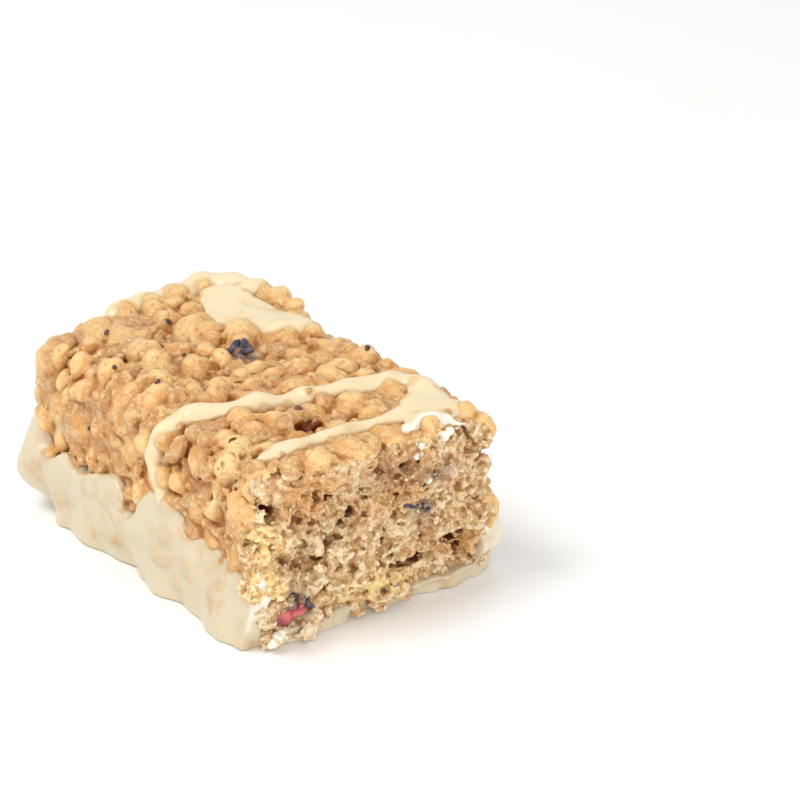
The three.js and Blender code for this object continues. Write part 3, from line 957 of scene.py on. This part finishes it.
def drizzle_field(grid, block):
    """Strands and pools with round edges, laid on the crisps and sunk a little between them."""
    soft = blurred(grid, block, DRIZZLE_BLUR) + DRIZZLE_SINK
    field = np.full(grid.shape, DRIZZLE_REACH, np.float32)
    for strand, height in DRIZZLE:
        for centre, out, half_width in strand_points(strand):
            window = grid.around(centre, half_width + DRIZZLE_REACH)
            dx, dy, dz = grid.offsets(window, centre)
            along_out = out[0] * dx + out[1] * dy + out[2] * dz
            aside = dx**2 + dy**2 + dz**2 - along_out**2
            reach = np.sqrt(aside / half_width**2 + (soft[window] / height) ** 2) - 1.0
            field[window] = np.minimum(field[window], reach * height)
    ragged = smoothstep(grid.to_break, *RAGGED_X)
    field = field + swell(grid, DRIZZLE_SWELL) + swell(grid, DRIZZLE_RAGS, ragged)
    face = CUT_X + DRIZZLE_PAST_CUT + swell(grid, DRIZZLE_END_SWELL)
    return smooth_max(field, grid.to_break - face, DRIZZLE_MELT)


# Stretches of the block

def stretch_of(field, along, start, end):
    """One stretch of a field along the bar. It runs on into its neighbours, a little below their
    surface, so that the seam doesn't show."""
    if start is not None:
        field = np.maximum(field, start - SEAM_OVERLAP - along)
        field = field + SEAM_SINK * (1.0 - smoothstep(along, start - SEAM_FADE_OUT, start + SEAM_FADE_IN))
    if end is not None:
        field = np.maximum(field, along - end - SEAM_OVERLAP)
        field = field + SEAM_SINK * smoothstep(along, end - SEAM_FADE_IN, end + SEAM_FADE_OUT)
    return field


# From grid to mesh

def whole_bodies(points, faces):
    """Drops loose scraps: keeps the bodies that have a fair share of the points. A body is found by
    giving each point the lowest label that is joined to it, until none changes."""
    label = np.arange(len(points))
    edges = np.concatenate([faces[:, [0, 1]], faces[:, [1, 2]], faces[:, [2, 3]]])
    while True:
        ends = label[edges.T]
        lower = label.copy()
        for end in ends:
            np.minimum.at(lower, end, ends.min(axis=0))
        lower = lower[lower][label]
        lower = lower[lower]
        if np.array_equal(lower, label):
            break
        label = lower
    counts = np.bincount(label, minlength=len(points))
    kept = counts[label] > SCRAP_SHARE * len(points)
    renumber = np.cumsum(kept) - 1
    return points[kept], renumber[faces[kept[faces[:, 0]]]]


def surface(grid, field, thinning=0.0):
    """Points, in straight millimetres, and faces where the field is zero. A triangle is a face that
    has its last corner twice."""
    band = FIELD_BAND * grid.step
    volume = openvdb.FloatGrid(band)
    volume.copyFromArray(np.clip(field, -band, band).astype(np.float32))
    points, triangles, quads = volume.convertToPolygons(isovalue=0.0, adaptivity=thinning)
    triangles = np.hstack([triangles, triangles[:, 2:3]]) if len(triangles) else np.zeros((0, 4), int)
    faces = np.concatenate([quads.astype(int), triangles.astype(int)])
    return whole_bodies(grid.low + points * grid.step, faces)


def joined(parts):
    """Points and faces of several parts as those of one."""
    starts = np.cumsum([0] + [len(points) for points, _ in parts])
    points = np.concatenate([points for points, _ in parts])
    return points, np.concatenate([faces + start for (_, faces), start in zip(parts, starts)])


def new_mesh(name, points, faces, attributes):
    """A mesh of the settled bar from straight millimetres, with values at its points."""
    mesh = bpy.data.meshes.new(name)
    corners = [face[:3] if face[2] == face[3] else face for face in faces.tolist()]
    mesh.from_pydata((settled(points) * MM).tolist(), [], corners)
    for label, values in attributes.items():
        layer = mesh.attributes.new(label, "FLOAT", "POINT")
        layer.data.foreach_set("value", np.asarray(values, np.float32))
    mesh.shade_smooth()
    return mesh


def in_scene(name, data):
    """A new object of the scene."""
    made = bpy.data.objects.new(name, data)
    bpy.context.scene.collection.objects.link(made)
    return made


def keep(name, mesh, node):
    """Puts a mesh into the scene as a piece of the bar."""
    made = in_scene(name, mesh)
    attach(made, "root")
    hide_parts(node)


def piece(name, points, faces, materials, attributes, node, slot):
    """A finished piece of the bar. A second material is for broken crumb."""
    mesh = new_mesh(name, points, faces, attributes)
    for look in materials:
        mesh.materials.append(look)
    if len(materials) > 1:
        broken = np.asarray(attributes["crumb"])[faces].mean(axis=1) > 0.5
        mesh.polygons.foreach_set("material_index", broken.astype(np.int32))
    keep(name, mesh, node)


# Materials

MIX_FACTOR = 0
MIX_FIRST = 6
MIX_SECOND = 7
MIX_RESULT = 2
NOISE_DETAIL = 3.0
NOISE_ROUGHNESS = 0.6
FOOD_IOR = 1.45

# A value that goes from low to high as its source goes from 0 to 1
Ramp = namedtuple("Ramp", "source low high")
# Fine relief of a source, with its depth in millimetres
Relief = namedtuple("Relief", "source strength depth")
# Round grains: their size in millimetres, and how much their edges count in the relief
Grain = namedtuple("Grain", "size weight")


def colour(text):
    """Linear colour from an sRGB hex value."""
    parts = [int(text[k:k + 2], 16) / 255 for k in (1, 3, 5)]
    return (*[p / 12.92 if p <= 0.04045 else ((p + 0.055) / 1.055) ** 2.4 for p in parts], 1.0)


def feed(tree, node, inputs):
    """Sets a node's inputs from values, or links them from sockets."""
    for name, value in inputs.items():
        if isinstance(value, bpy.types.NodeSocket):
            tree.links.new(value, node.inputs[name])
        else:
            node.inputs[name].default_value = value


def add_node(tree, kind, settings, inputs):
    """Adds a node with its settings and inputs."""
    made = tree.nodes.new(kind)
    for name, value in settings.items():
        setattr(made, name, value)
    feed(tree, made, inputs)
    return made


class Sources:
    """Sockets that a material's looks are drawn from: values of the mesh by name, noise on Object
    coordinates by its size in millimetres, and the tone of round grains and the way to their edge."""

    def __init__(self, tree, grain):
        self.tree = tree
        self.place = add_node(tree, "ShaderNodeTexCoord", {}, {}).outputs["Object"]
        self.sockets = {}
        if grain is not None:
            inputs = {"Vector": self.place, "Scale": 1.0 / (grain.size * MM)}
            cells = add_node(tree, "ShaderNodeTexVoronoi", {}, inputs)
            self.sockets = {"grain_tone": cells.outputs["Color"], "grain_edge": cells.outputs["Distance"]}

    def socket(self, source):
        """The socket of a source, made when it is first asked for."""
        if source in self.sockets:
            return self.sockets[source]
        if isinstance(source, str):
            made = add_node(self.tree, "ShaderNodeAttribute", {"attribute_name": source}, {})
        else:
            made = add_node(self.tree, "ShaderNodeTexNoise", {}, {
                "Vector": self.place,
                "Scale": 1.0 / (source * MM),
                "Detail": NOISE_DETAIL,
                "Roughness": NOISE_ROUGHNESS,
            })
        self.sockets[source] = made.outputs["Fac"]
        return made.outputs["Fac"]

    def value(self, given):
        """The socket of a ramp, or a constant as it is."""
        if not isinstance(given, Ramp):
            return given
        inputs = {"Value": self.socket(given.source), "To Min": given.low, "To Max": given.high}
        return add_node(self.tree, "ShaderNodeMapRange", {}, inputs).outputs["Result"]


def new_material(name, base, layers, values, relief=None, grain=None):
    """A material from colours laid over a base, and values of its shader. Each layer has a source, the
    values of it between which the layer comes in, and its colour."""
    material = bpy.data.materials.new(name)
    material.use_nodes = True
    tree = material.node_tree
    sources = Sources(tree, grain)
    laid = colour(base)
    for source, low, high, tone in layers:
        comes_in = {"Value": sources.socket(source), "From Min": low, "From Max": high}
        mask = add_node(tree, "ShaderNodeMapRange", {"interpolation_type": "SMOOTHSTEP"}, comes_in)
        inputs = {MIX_FACTOR: mask.outputs["Result"], MIX_FIRST: laid, MIX_SECOND: colour(tone)}
        laid = add_node(tree, "ShaderNodeMix", {"data_type": "RGBA"}, inputs).outputs[MIX_RESULT]
    finish = {label: sources.value(given) for label, given in values.items()}
    finish["Base Color"] = laid
    if relief is not None:
        height = sources.socket(relief.source)
        if grain is not None:
            parts = {0: sources.socket("grain_edge"), 1: sources.value(grain.weight), 2: height}
            height = add_node(tree, "ShaderNodeMath", {"operation": "MULTIPLY_ADD"}, parts).outputs[0]
        inputs = {"Height": height, "Strength": relief.strength, "Distance": relief.depth * MM}
        finish["Normal"] = add_node(tree, "ShaderNodeBump", {}, inputs).outputs["Normal"]
    feed(tree, tree.nodes["Principled BSDF"], finish)
    return material


def glow(weight, spread, depth):
    """Light that spreads below the surface: its share, how far each colour goes, and its depth in
    millimetres."""
    return {"Subsurface Weight": weight, "Subsurface Radius": spread, "Subsurface Scale": depth * MM}


def yoghurt_material(name, thick, thin):
    """Yoghurt coating set from a melt: satin and slightly see-through, cream where it is thick,
    tan where a crisp lies close below, chalky white where it broke."""
    layers = ((4.0, 0.48, 0.85, thin), ("thin", 0.0, 1.0, thin), ("chalk", 0.0, 1.0, "#ebe4d4"))
    values = {"Roughness": Ramp("chalk", 0.28, 0.85), "IOR": FOOD_IOR, **glow(0.4, (1.0, 0.8, 0.5), 1.0)}
    return new_material(name, thick, layers, values, Relief(4.0, 0.15, 0.15))


def dried_fruit_material(name, flesh, skin, roughness):
    """Dried berry or seed: two uneven tones of one fruit with fine wrinkles."""
    values = {"Roughness": roughness, **glow(0.2, (1.0, 0.4, 0.4), 0.5)}
    return new_material(name, flesh, ((1.2, 0.42, 0.62, skin),), values, Relief(0.5, 0.6, 0.1))


# Puffed crisps glazed with syrup: pale gold and translucent with a wet shine, with a painted highlight
# on their crowns and painted shade in the gaps, crevices and holes, coloured deep orange like light
# that passed through the syrup, and finely grained where syrup and crumbs fill in
CRISP_LAYERS = (
    ("tone", 0.0, 0.8, "#d9a35c"),
    ("tone", 0.75, 1.0, "#e4bb7c"),
    # Painted highlight: paler on the crowns, where the crisps stand out
    ("crown_highlight", 0.0, 1.4, "#edca8c"),
    (2.2, 0.45, 0.75, "#e0ad69"),
    ("syrup", 0.0, 1.4, "#c08d57"),
    ("grain_tone", 0.45, 1.0, "#e5c289"),
    (0.8, 0.55, 0.75, "#be7e3e"),
    ("pale", 0.0, 1.2, "#f0d8a4"),
    (0.35, 0.58, 0.75, "#f2ddb0"),
    # Painted shade: orange brown in gaps, crevices and holes, darkest deep in them
    ("gap_shade", 0.0, 1.1, "#a9641f"),
    ("crevice_shade", 0.0, 1.3, "#a4621f"),
    ("gap_shade", 0.8, 1.0, "#7a3410"),
    ("stain", 0.0, 1.0, "#6f5354"),
)
CRISP_SHINE = {
    "Roughness": Ramp("syrup", 0.36, 0.24),
    "IOR": FOOD_IOR,
    "Coat Weight": 0.25,
    "Coat Roughness": 0.12,
    **glow(0.4, (1.0, 0.5, 0.18), 0.9),
}
CRISP_GRAIN = Grain(0.6, Ramp("syrup", -0.4, -1.0))
CRISP_LOOK = new_material(
    "syrup_glazed_puffed_crisps", "#c98a45", CRISP_LAYERS, CRISP_SHINE, Relief(0.35, 0.8, 0.3), CRISP_GRAIN
)

# Inside of the broken crisps: dry and uneven, cream on the grains, with painted highlights on the
# peaks and in tiny white glints, painted brown shade between the grains and in the crevices and gaps,
# orange where syrup soaked in, grey purple by the berries
CRUMB_LAYERS = (
    ("grain_tone", 0.3, 0.8, "#e5cd9b"),
    ("grain", 0.0, 1.6, "#dfbf8a"),
    (3.0, 0.46, 0.66, "#c1905a"),
    (3.0, 0.46, 0.3, "#ecdab4"),
    # Painted highlight: paler on the small peaks of the crumb
    ("peak_highlight", 0.0, 1.8, "#f3e3c1"),
    (0.35, 0.58, 0.72, "#f8eed8"),
    ("caramel", 0.0, 1.2, "#d49b58"),
    ("pale", 0.0, 1.1, "#f7d892"),
    (0.2, 0.44, 0.3, "#ab7a42"),
    # Painted highlights: tiny white glints from fine noise
    (0.2, 0.57, 0.7, "#fbf5e6"),
    ("stain", 0.0, 1.0, "#786460"),
    # Painted shade: brown between the grains, in crevices, and in gaps and holes, darkest deep in them
    ("grain_edge", 0.5, 1.2, "#a06e38"),
    ("crevice_shade", 0.0, 1.6, "#9c6630"),
    ("gap_shade", 0.1, 0.8, "#74441a"),
    ("gap_shade", 0.75, 1.0, "#642b0d"),
)
CRUMB_SHINE = {"Roughness": 0.48, "IOR": FOOD_IOR, **glow(0.3, (1.0, 0.5, 0.2), 0.5)}
CRUMB_LOOK = new_material(
    "broken_crisp_crumb", "#cb9d62", CRUMB_LAYERS, CRUMB_SHINE, Relief(0.35, 0.8, 0.22), Grain(0.7, -1.0)
)

# Small dry crumbs of the break: cream to amber, each with its own tone, catching the light
LOOSE_CRUMB_LAYERS = (("tone", 0.4, 1.0, "#e6d3aa"), (0.5, 0.5, 0.7, "#cfa970"))
LOOSE_CRUMB_SHINE = {"Roughness": 0.42, "IOR": FOOD_IOR, **glow(0.25, (1.0, 0.6, 0.3), 0.4)}
LOOSE_CRUMB_LOOK = new_material("loose_crumbs", "#c39a63", LOOSE_CRUMB_LAYERS, LOOSE_CRUMB_SHINE)

COAT_LOOK = yoghurt_material("yoghurt_coating", "#d2c5a9", "#c39f6f")
DRIZZLE_LOOK = yoghurt_material("yoghurt_drizzle", "#e5d2ad", "#d6b988")
FLAKE_LOOK = yoghurt_material("broken_yoghurt", "#ebe4d4", "#e2d5bb")
BLUEBERRY_LOOK = dried_fruit_material("dried_blueberry", "#2a2a36", "#655560", 0.5)
RASPBERRY_LOOK = dried_fruit_material("dried_raspberry", "#cf6660", "#8f3f4a", 0.45)
SEED_LOOK = dried_fruit_material("berry_seeds", "#3c211c", "#6b4034", 0.35)

# Smooth white paper under the bar, plain and matte, a little warmer in wide soft clouds
PAPER_LOOK = new_material("white_paper", "#f5f5f4", ((60.0, 0.3, 0.8, "#f4f3f0"),), {"Roughness": 0.7})


# Values of the mesh that the materials read

def patches(points, places, fade):
    """Soft patches round given places, which fade out over a share of their reach."""
    patch = np.zeros(len(points))
    for place, reach, strength in places:
        apart = np.linalg.norm((points - place) / reach, axis=1)
        patch = np.maximum(patch, strength * (1.0 - smoothstep(apart, *fade)))
    return patch


def laid_bare(x, y, z):
    """1 where the coating broke away from the crumb, at the near lower corner and along the base."""
    at_break = smoothstep(x + chip(y, z), *BARE_X)
    corner = near_side(y) * (1.0 - smoothstep(z, *BARE_CORNER_Z))
    return at_break * np.maximum(corner, 1.0 - smoothstep(z, *BARE_BASE_Z))


def block_looks(grid, tint, field, holes, points):
    """Values at points of the block: tones of the crisps, syrup between them, stains and pale places,
    and masks of painted shade in wide gaps, holes and narrow crevices and of painted highlights on
    small peaks and wide crowns, 1 where they are strongest."""
    wide = grid.sample(blurred(grid, field, GAP_BLUR), points)
    narrow = grid.sample(blurred(grid, field, CREVICE_BLUR), points)
    return {
        "tone": grid.sample(tint[1], points),
        "syrup": smoothstep(grid.sample(tint[0], points), *SYRUP_FROM),
        "stain": patches(points, BERRY_STAINS, PATCH_FADE),
        "pale": patches(points, PALE_PLACES, PATCH_FADE),
        "gap_shade": np.maximum(smoothstep(-wide, *GAP_SHADE_FROM), shaded_holes(holes(*points.T))),
        "crevice_shade": smoothstep(-narrow, *CREVICE_SHADE_FROM),
        "peak_highlight": smoothstep(narrow, *PEAK_HIGHLIGHT_FROM),
        "crown_highlight": smoothstep(wide, *CROWN_HIGHLIGHT_FROM),
    }


# Pieces

def make_block(grid, tint, block):
    """The crisp block behind the broken face, in two stretches."""
    stretches = (
        ("crisp_block_end", None, MIDDLE_SEAM_X),
        ("crisp_block_middle", MIDDLE_SEAM_X, BREAK_SEAM_X),
    )
    for name, start, end in stretches:
        points, faces = surface(grid, stretch_of(block, grid.to_break, start, end), BLOCK_THINNING)
        looks = block_looks(grid, tint, block, top_holes, points)
        looks["stain"] *= STAIN_LEAST + looks["tone"]
        piece(name, points, faces, [CRISP_LOOK], looks, "crisp_core", "crisp")


def broken_face_field(grid, tint, grain_tint):
    """The block at its break, and the same stretch before it broke."""
    mass = syrup(grid)
    whole = bound_crisps(grid, mass, tint)
    field = bound_crisps(grid, broken_mass(grid, mass), tint)
    reach = CUT_X + BROKEN_CRISP_REACH + swell(grid, REACH_SWELL)
    field = smooth_max(field, grid.to_break - reach, REACH_MELT)
    field = crumbly(grid, field, grain_tint)
    rough = sum(swell(grid, layer) for layer in CRUMB_SWELLS)
    bare = np.maximum(smoothstep(-whole, *ROUGH_DEPTH), laid_bare(grid.x, grid.y, grid.z))
    field = pitted(grid, field + bare * rough, break_holes)
    return smooth_max(field, FACE_LOW_Z - grid.z, LOW_MELT), whole


def make_broken_face(grid, tint, grain_tint, field, whole):
    """The stretch of the block at the break, in a near and a far half. Gives its points and faces,
    and where crumbs may lie on them."""
    stretch = stretch_of(field, grid.to_break, BREAK_SEAM_X, None)
    halves = (("broken_face_near", None, FACE_SEAM_Y), ("broken_face_far", FACE_SEAM_Y, None))
    parts = []
    strewn = []
    for name, start, end in halves:
        points, faces = surface(grid, stretch_of(stretch, grid.y, start, end), FACE_THINNING)
        looks = block_looks(grid, tint, field, break_holes, points)
        deep = smoothstep(-grid.sample(whole, points), *CRUMB_DEPTH)
        looks["crumb"] = np.maximum(deep, laid_bare(*points.T))
        looks["grain"] = grid.sample(grain_tint[1], points)
        looks["caramel"] = patches(points, CARAMEL_PLACES, CARAMEL_FADE)
        piece(name, points, faces, [CRISP_LOOK, CRUMB_LOOK], looks, "crisp_core", "crisp")
        parts.append((points, faces))
        strewn.append(looks["crumb"] * smoothstep(points[:, 2], *STREWN_FROM_Z))
    return (*joined(parts), np.concatenate(strewn))


def make_coating(grid, block):
    points, faces = surface(grid, coating_field(grid, block), COAT_THINNING)
    x, y, z = points.T
    outside = smoothstep(grid.sample(blurred(grid, block, GAP_BLUR), points), *COAT_OUTSIDE)
    at_edge = smoothstep(x + chip(y, z), *COAT_CHALK_X) * smoothstep(z, *COAT_CHALK_Z)
    looks = {
        "thin": COAT_THIN_SHARE * outside * (1.0 - smoothstep(grid.sample(block, points), *COAT_THIN)),
        "chalk": at_edge * (COAT_CHALK_SHARE + NEAR_CHALK_SHARE * near_side(y)),
    }
    piece("coating_shell", points, faces, [COAT_LOOK], looks, "coating", "coating")


def make_drizzle(grid, block):
    points, faces = surface(grid, drizzle_field(grid, block))
    looks = {
        "thin": 1.0 - smoothstep(grid.sample(block, points), *DRIZZLE_THIN),
        "chalk": smoothstep(points[:, 0], *DRIZZLE_CHALK_X) * smoothstep(points[:, 1], *DRIZZLE_CHALK_Y),
    }
    piece("drizzle", points, faces, [DRIZZLE_LOOK], looks, "crisp_core", "coating")


def seated(place, skin, broken):
    """A place with its missing coordinate set where the block is met from outside, on its skin or its
    broken face. Both are given as a grid and a field."""
    axis = place.index(None)
    grid, field = broken if axis == 0 else skin
    line = np.zeros((SEAT_STEPS, 3))
    for k, part in enumerate(place):
        line[:, k] = part if part is not None else np.linspace(SEAT_FROM[k], 0.0, SEAT_STEPS)
    return line[np.argmax(grid.sample(field, line) < 0.0)]


def make_bits(name, bits, wrinkle, material, skin, broken):
    """Small wrinkled lumps of one kind, seated on the block and joined in one piece."""
    parts = []
    for number, bit in enumerate(bits):
        centre = seated(bit.place, skin, broken)
        longest = max(bit.half_sizes)
        thinnest = min(bit.half_sizes)
        grid = Grid(centre - BIT_ROOM * longest, centre + BIT_ROOM * longest, longest / BIT_STEPS)
        ball = Ball(centre, 1.0, bit.half_sizes, bit.turn, MIDDLE_TONE)
        width = max(WRINKLE_SHARE * longest, WRINKLE_LEAST)
        wrinkles = swell(grid, Swell(width, wrinkle * thinnest, BIT_SEED + number))
        parts.append(surface(grid, thinnest * ball_distance(grid, np.s_[:, :, :], ball) + wrinkles))
    piece(name, *joined(parts), [material], {}, "crisp_core", "crisp")


# Loose crumbs

# Inputs of the tree: crumbs for each square metre, half sizes in metres, seeds and material
CRUMB_INPUTS = (
    ("Geometry", "NodeSocketGeometry", None),
    ("Density", "NodeSocketFloat", 0.9e6),
    ("Smallest", "NodeSocketVector", (0.08 * MM, 0.08 * MM, 0.08 * MM)),
    ("Largest", "NodeSocketVector", (0.36 * MM, 0.36 * MM, 0.36 * MM)),
    ("Seed", "NodeSocketInt", 5),
    ("Size seed", "NodeSocketInt", 6),
    ("Tone seed", "NodeSocketInt", 7),
    ("Material", "NodeSocketMaterial", LOOSE_CRUMB_LOOK),
)
CRUMB_NOISE_SCALE = 1.3
CRUMB_UNEVENNESS = (1.6, 1.6, 1.6)
CRUMB_SHIFT = (-0.8, -0.8, -0.8)
FULL_TURN = (math.tau, math.tau, math.tau)


def crumb_tree():
    """Geometry Nodes that strew small angular crumbs over the broken crumb of a mesh."""
    tree = bpy.data.node_groups.new("strewn_crumbs", "GeometryNodeTree")
    for name, kind, _ in CRUMB_INPUTS:
        tree.interface.new_socket(name, in_out="INPUT", socket_type=kind)
    tree.interface.new_socket("Geometry", in_out="OUTPUT", socket_type="NodeSocketGeometry")
    given = tree.nodes.new("NodeGroupInput").outputs
    broken = add_node(tree, "GeometryNodeInputNamedAttribute", {"data_type": "FLOAT"}, {"Name": "crumb"})
    density = add_node(tree, "ShaderNodeMath", {"operation": "MULTIPLY"}, {
        0: broken.outputs["Attribute"],
        1: given["Density"],
    })
    strewn = add_node(tree, "GeometryNodeDistributePointsOnFaces", {"distribute_method": "RANDOM"}, {
        "Mesh": given["Geometry"],
        "Density": density.outputs[0],
        "Seed": given["Seed"],
    })
    shape = add_node(tree, "GeometryNodeMeshIcoSphere", {}, {"Radius": 1.0, "Subdivisions": 1})
    uneven = add_node(tree, "ShaderNodeTexNoise", {}, {"Scale": CRUMB_NOISE_SCALE, "Detail": 0.0})
    offset = add_node(tree, "ShaderNodeVectorMath", {"operation": "MULTIPLY_ADD"}, {
        0: uneven.outputs["Color"],
        1: CRUMB_UNEVENNESS,
        2: CRUMB_SHIFT,
    })
    crumb = add_node(tree, "GeometryNodeSetPosition", {}, {
        "Geometry": shape.outputs["Mesh"],
        "Offset": offset.outputs[0],
    })
    turn = add_node(tree, "FunctionNodeRandomValue", {"data_type": "FLOAT_VECTOR"}, {
        "Max": FULL_TURN,
        "Seed": given["Seed"],
    })
    size = add_node(tree, "FunctionNodeRandomValue", {"data_type": "FLOAT_VECTOR"}, {
        "Min": given["Smallest"],
        "Max": given["Largest"],
        "Seed": given["Size seed"],
    })
    placed = add_node(tree, "GeometryNodeInstanceOnPoints", {}, {
        "Points": strewn.outputs["Points"],
        "Instance": crumb.outputs["Geometry"],
        "Rotation": turn.outputs["Value"],
        "Scale": size.outputs["Value"],
    })
    tone = add_node(tree, "FunctionNodeRandomValue", {"data_type": "FLOAT"}, {"Seed": given["Tone seed"]})
    settings = {"data_type": "FLOAT", "domain": "INSTANCE"}
    toned = add_node(tree, "GeometryNodeStoreNamedAttribute", settings, {
        "Geometry": placed.outputs["Instances"],
        "Name": "tone",
        "Value": tone.outputs[1],
    })
    real = add_node(tree, "GeometryNodeRealizeInstances", {}, {"Geometry": toned.outputs["Geometry"]})
    finished = add_node(tree, "GeometryNodeSetMaterial", {}, {
        "Geometry": real.outputs["Geometry"],
        "Material": given["Material"],
    })
    add_node(tree, "NodeGroupOutput", {}, {"Geometry": finished.outputs["Geometry"]})
    return tree


def make_loose_crumbs(points, faces, crumb):
    """Crumbs strewn over the broken face, as a plain mesh."""
    tree = crumb_tree()
    strewer = in_scene("strewer", new_mesh("strewer", points, faces, {"crumb": crumb}))
    modifier = strewer.modifiers.new("crumbs", "NODES")
    modifier.node_group = tree
    values = {name: value for name, _, value in CRUMB_INPUTS if value is not None}
    for item in tree.interface.items_tree:
        if item.in_out == "INPUT" and item.name in values:
            modifier[item.identifier] = values[item.name]
    evaluated = strewer.evaluated_get(bpy.context.evaluated_depsgraph_get())
    mesh = bpy.data.meshes.new_from_object(evaluated)
    strewer.modifiers.remove(modifier)
    bpy.data.objects.remove(strewer)
    keep("loose_crumbs", mesh, "crisp_core")


# Floor, light and camera

def aim(thing, direction):
    """Turns a camera or a light to look along a direction, upright."""
    thing.rotation_mode = "QUATERNION"
    thing.rotation_quaternion = direction.to_track_quat("-Z", "Y")


def place_camera():
    sine = math.sin(CAMERA_AZIMUTH)
    cosine = math.cos(CAMERA_AZIMUTH)
    flat = math.cos(CAMERA_ELEVATION)
    back = Vector((sine * flat, -cosine * flat, math.sin(CAMERA_ELEVATION)))
    right = Vector((cosine, sine, 0.0))
    up = back.cross(right)
    focal = PIXELS_PER_MM * CAMERA_DISTANCE
    aside = right * (PHOTO_SIZE / 2 - AIM_PIXEL[0]) - up * (PHOTO_SIZE / 2 - AIM_PIXEL[1])
    camera = in_scene("camera", bpy.data.cameras.new("camera"))
    camera.data.sensor_width = SENSOR
    camera.data.lens = focal / PHOTO_SIZE * SENSOR
    camera.data.clip_start = CAMERA_CLIP
    camera.location = (AIM + back * CAMERA_DISTANCE) * MM
    aim(camera, aside / focal - back)
    bpy.context.scene.camera = camera


def place_floor():
    mesh = bpy.data.meshes.new("floor")
    reach = FLOOR_REACH
    corners = [(-reach, -reach, 0.0), (reach, -reach, 0.0), (reach, reach, 0.0), (-reach, reach, 0.0)]
    mesh.from_pydata(corners, [], [(0, 1, 2, 3)])
    mesh.materials.append(PAPER_LOOK)
    floor = in_scene("floor", mesh)
    floor.location.z = FLOOR_Z


def place_lights():
    world = bpy.data.worlds.new("studio")
    world.use_nodes = True
    white = {"Strength": WORLD_STRENGTH, "Color": (1, 1, 1, 1)}
    feed(world.node_tree, world.node_tree.nodes["Background"], white)
    bpy.context.scene.world = world
    for name, place, power, size in SOFT_LIGHTS:
        lamp = bpy.data.lights.new(name, "AREA")
        lamp.energy = power
        lamp.size = size
        light = in_scene(name, lamp)
        light.location = place
        aim(light, -light.location)


# The scene

bar_grid = Grid(*BAR_BOX, BAR_STEP)
crisp_tint = new_tint(bar_grid)
crisp_block = bound_crisps(bar_grid, syrup(bar_grid), crisp_tint)
make_block(bar_grid, crisp_tint, crisp_block)
make_coating(bar_grid, crisp_block)
make_drizzle(bar_grid, crisp_block)

face_grid = Grid(*FACE_BOX, FACE_STEP)
face_tint = new_tint(face_grid)
grain_tint = new_tint(face_grid)
face_field, face_whole = broken_face_field(face_grid, face_tint, grain_tint)
make_loose_crumbs(*make_broken_face(face_grid, face_tint, grain_tint, face_field, face_whole))

# Bits with how strongly they are wrinkled
bit_kinds = (
    ("blueberry_bits", BLUEBERRY_BITS, 0.45, BLUEBERRY_LOOK),
    ("raspberry_bits", RASPBERRY_BITS, 0.25, RASPBERRY_LOOK),
    ("berry_seeds", SEEDS, 0.08, SEED_LOOK),
    ("coat_flakes", COAT_FLAKES, 0.25, FLAKE_LOOK),
)
for kind in bit_kinds:
    make_bits(*kind, (bar_grid, crisp_block), (face_grid, face_field))

place_camera()
place_floor()
place_lights()
bpy.context.scene.view_settings.view_transform = "Standard"
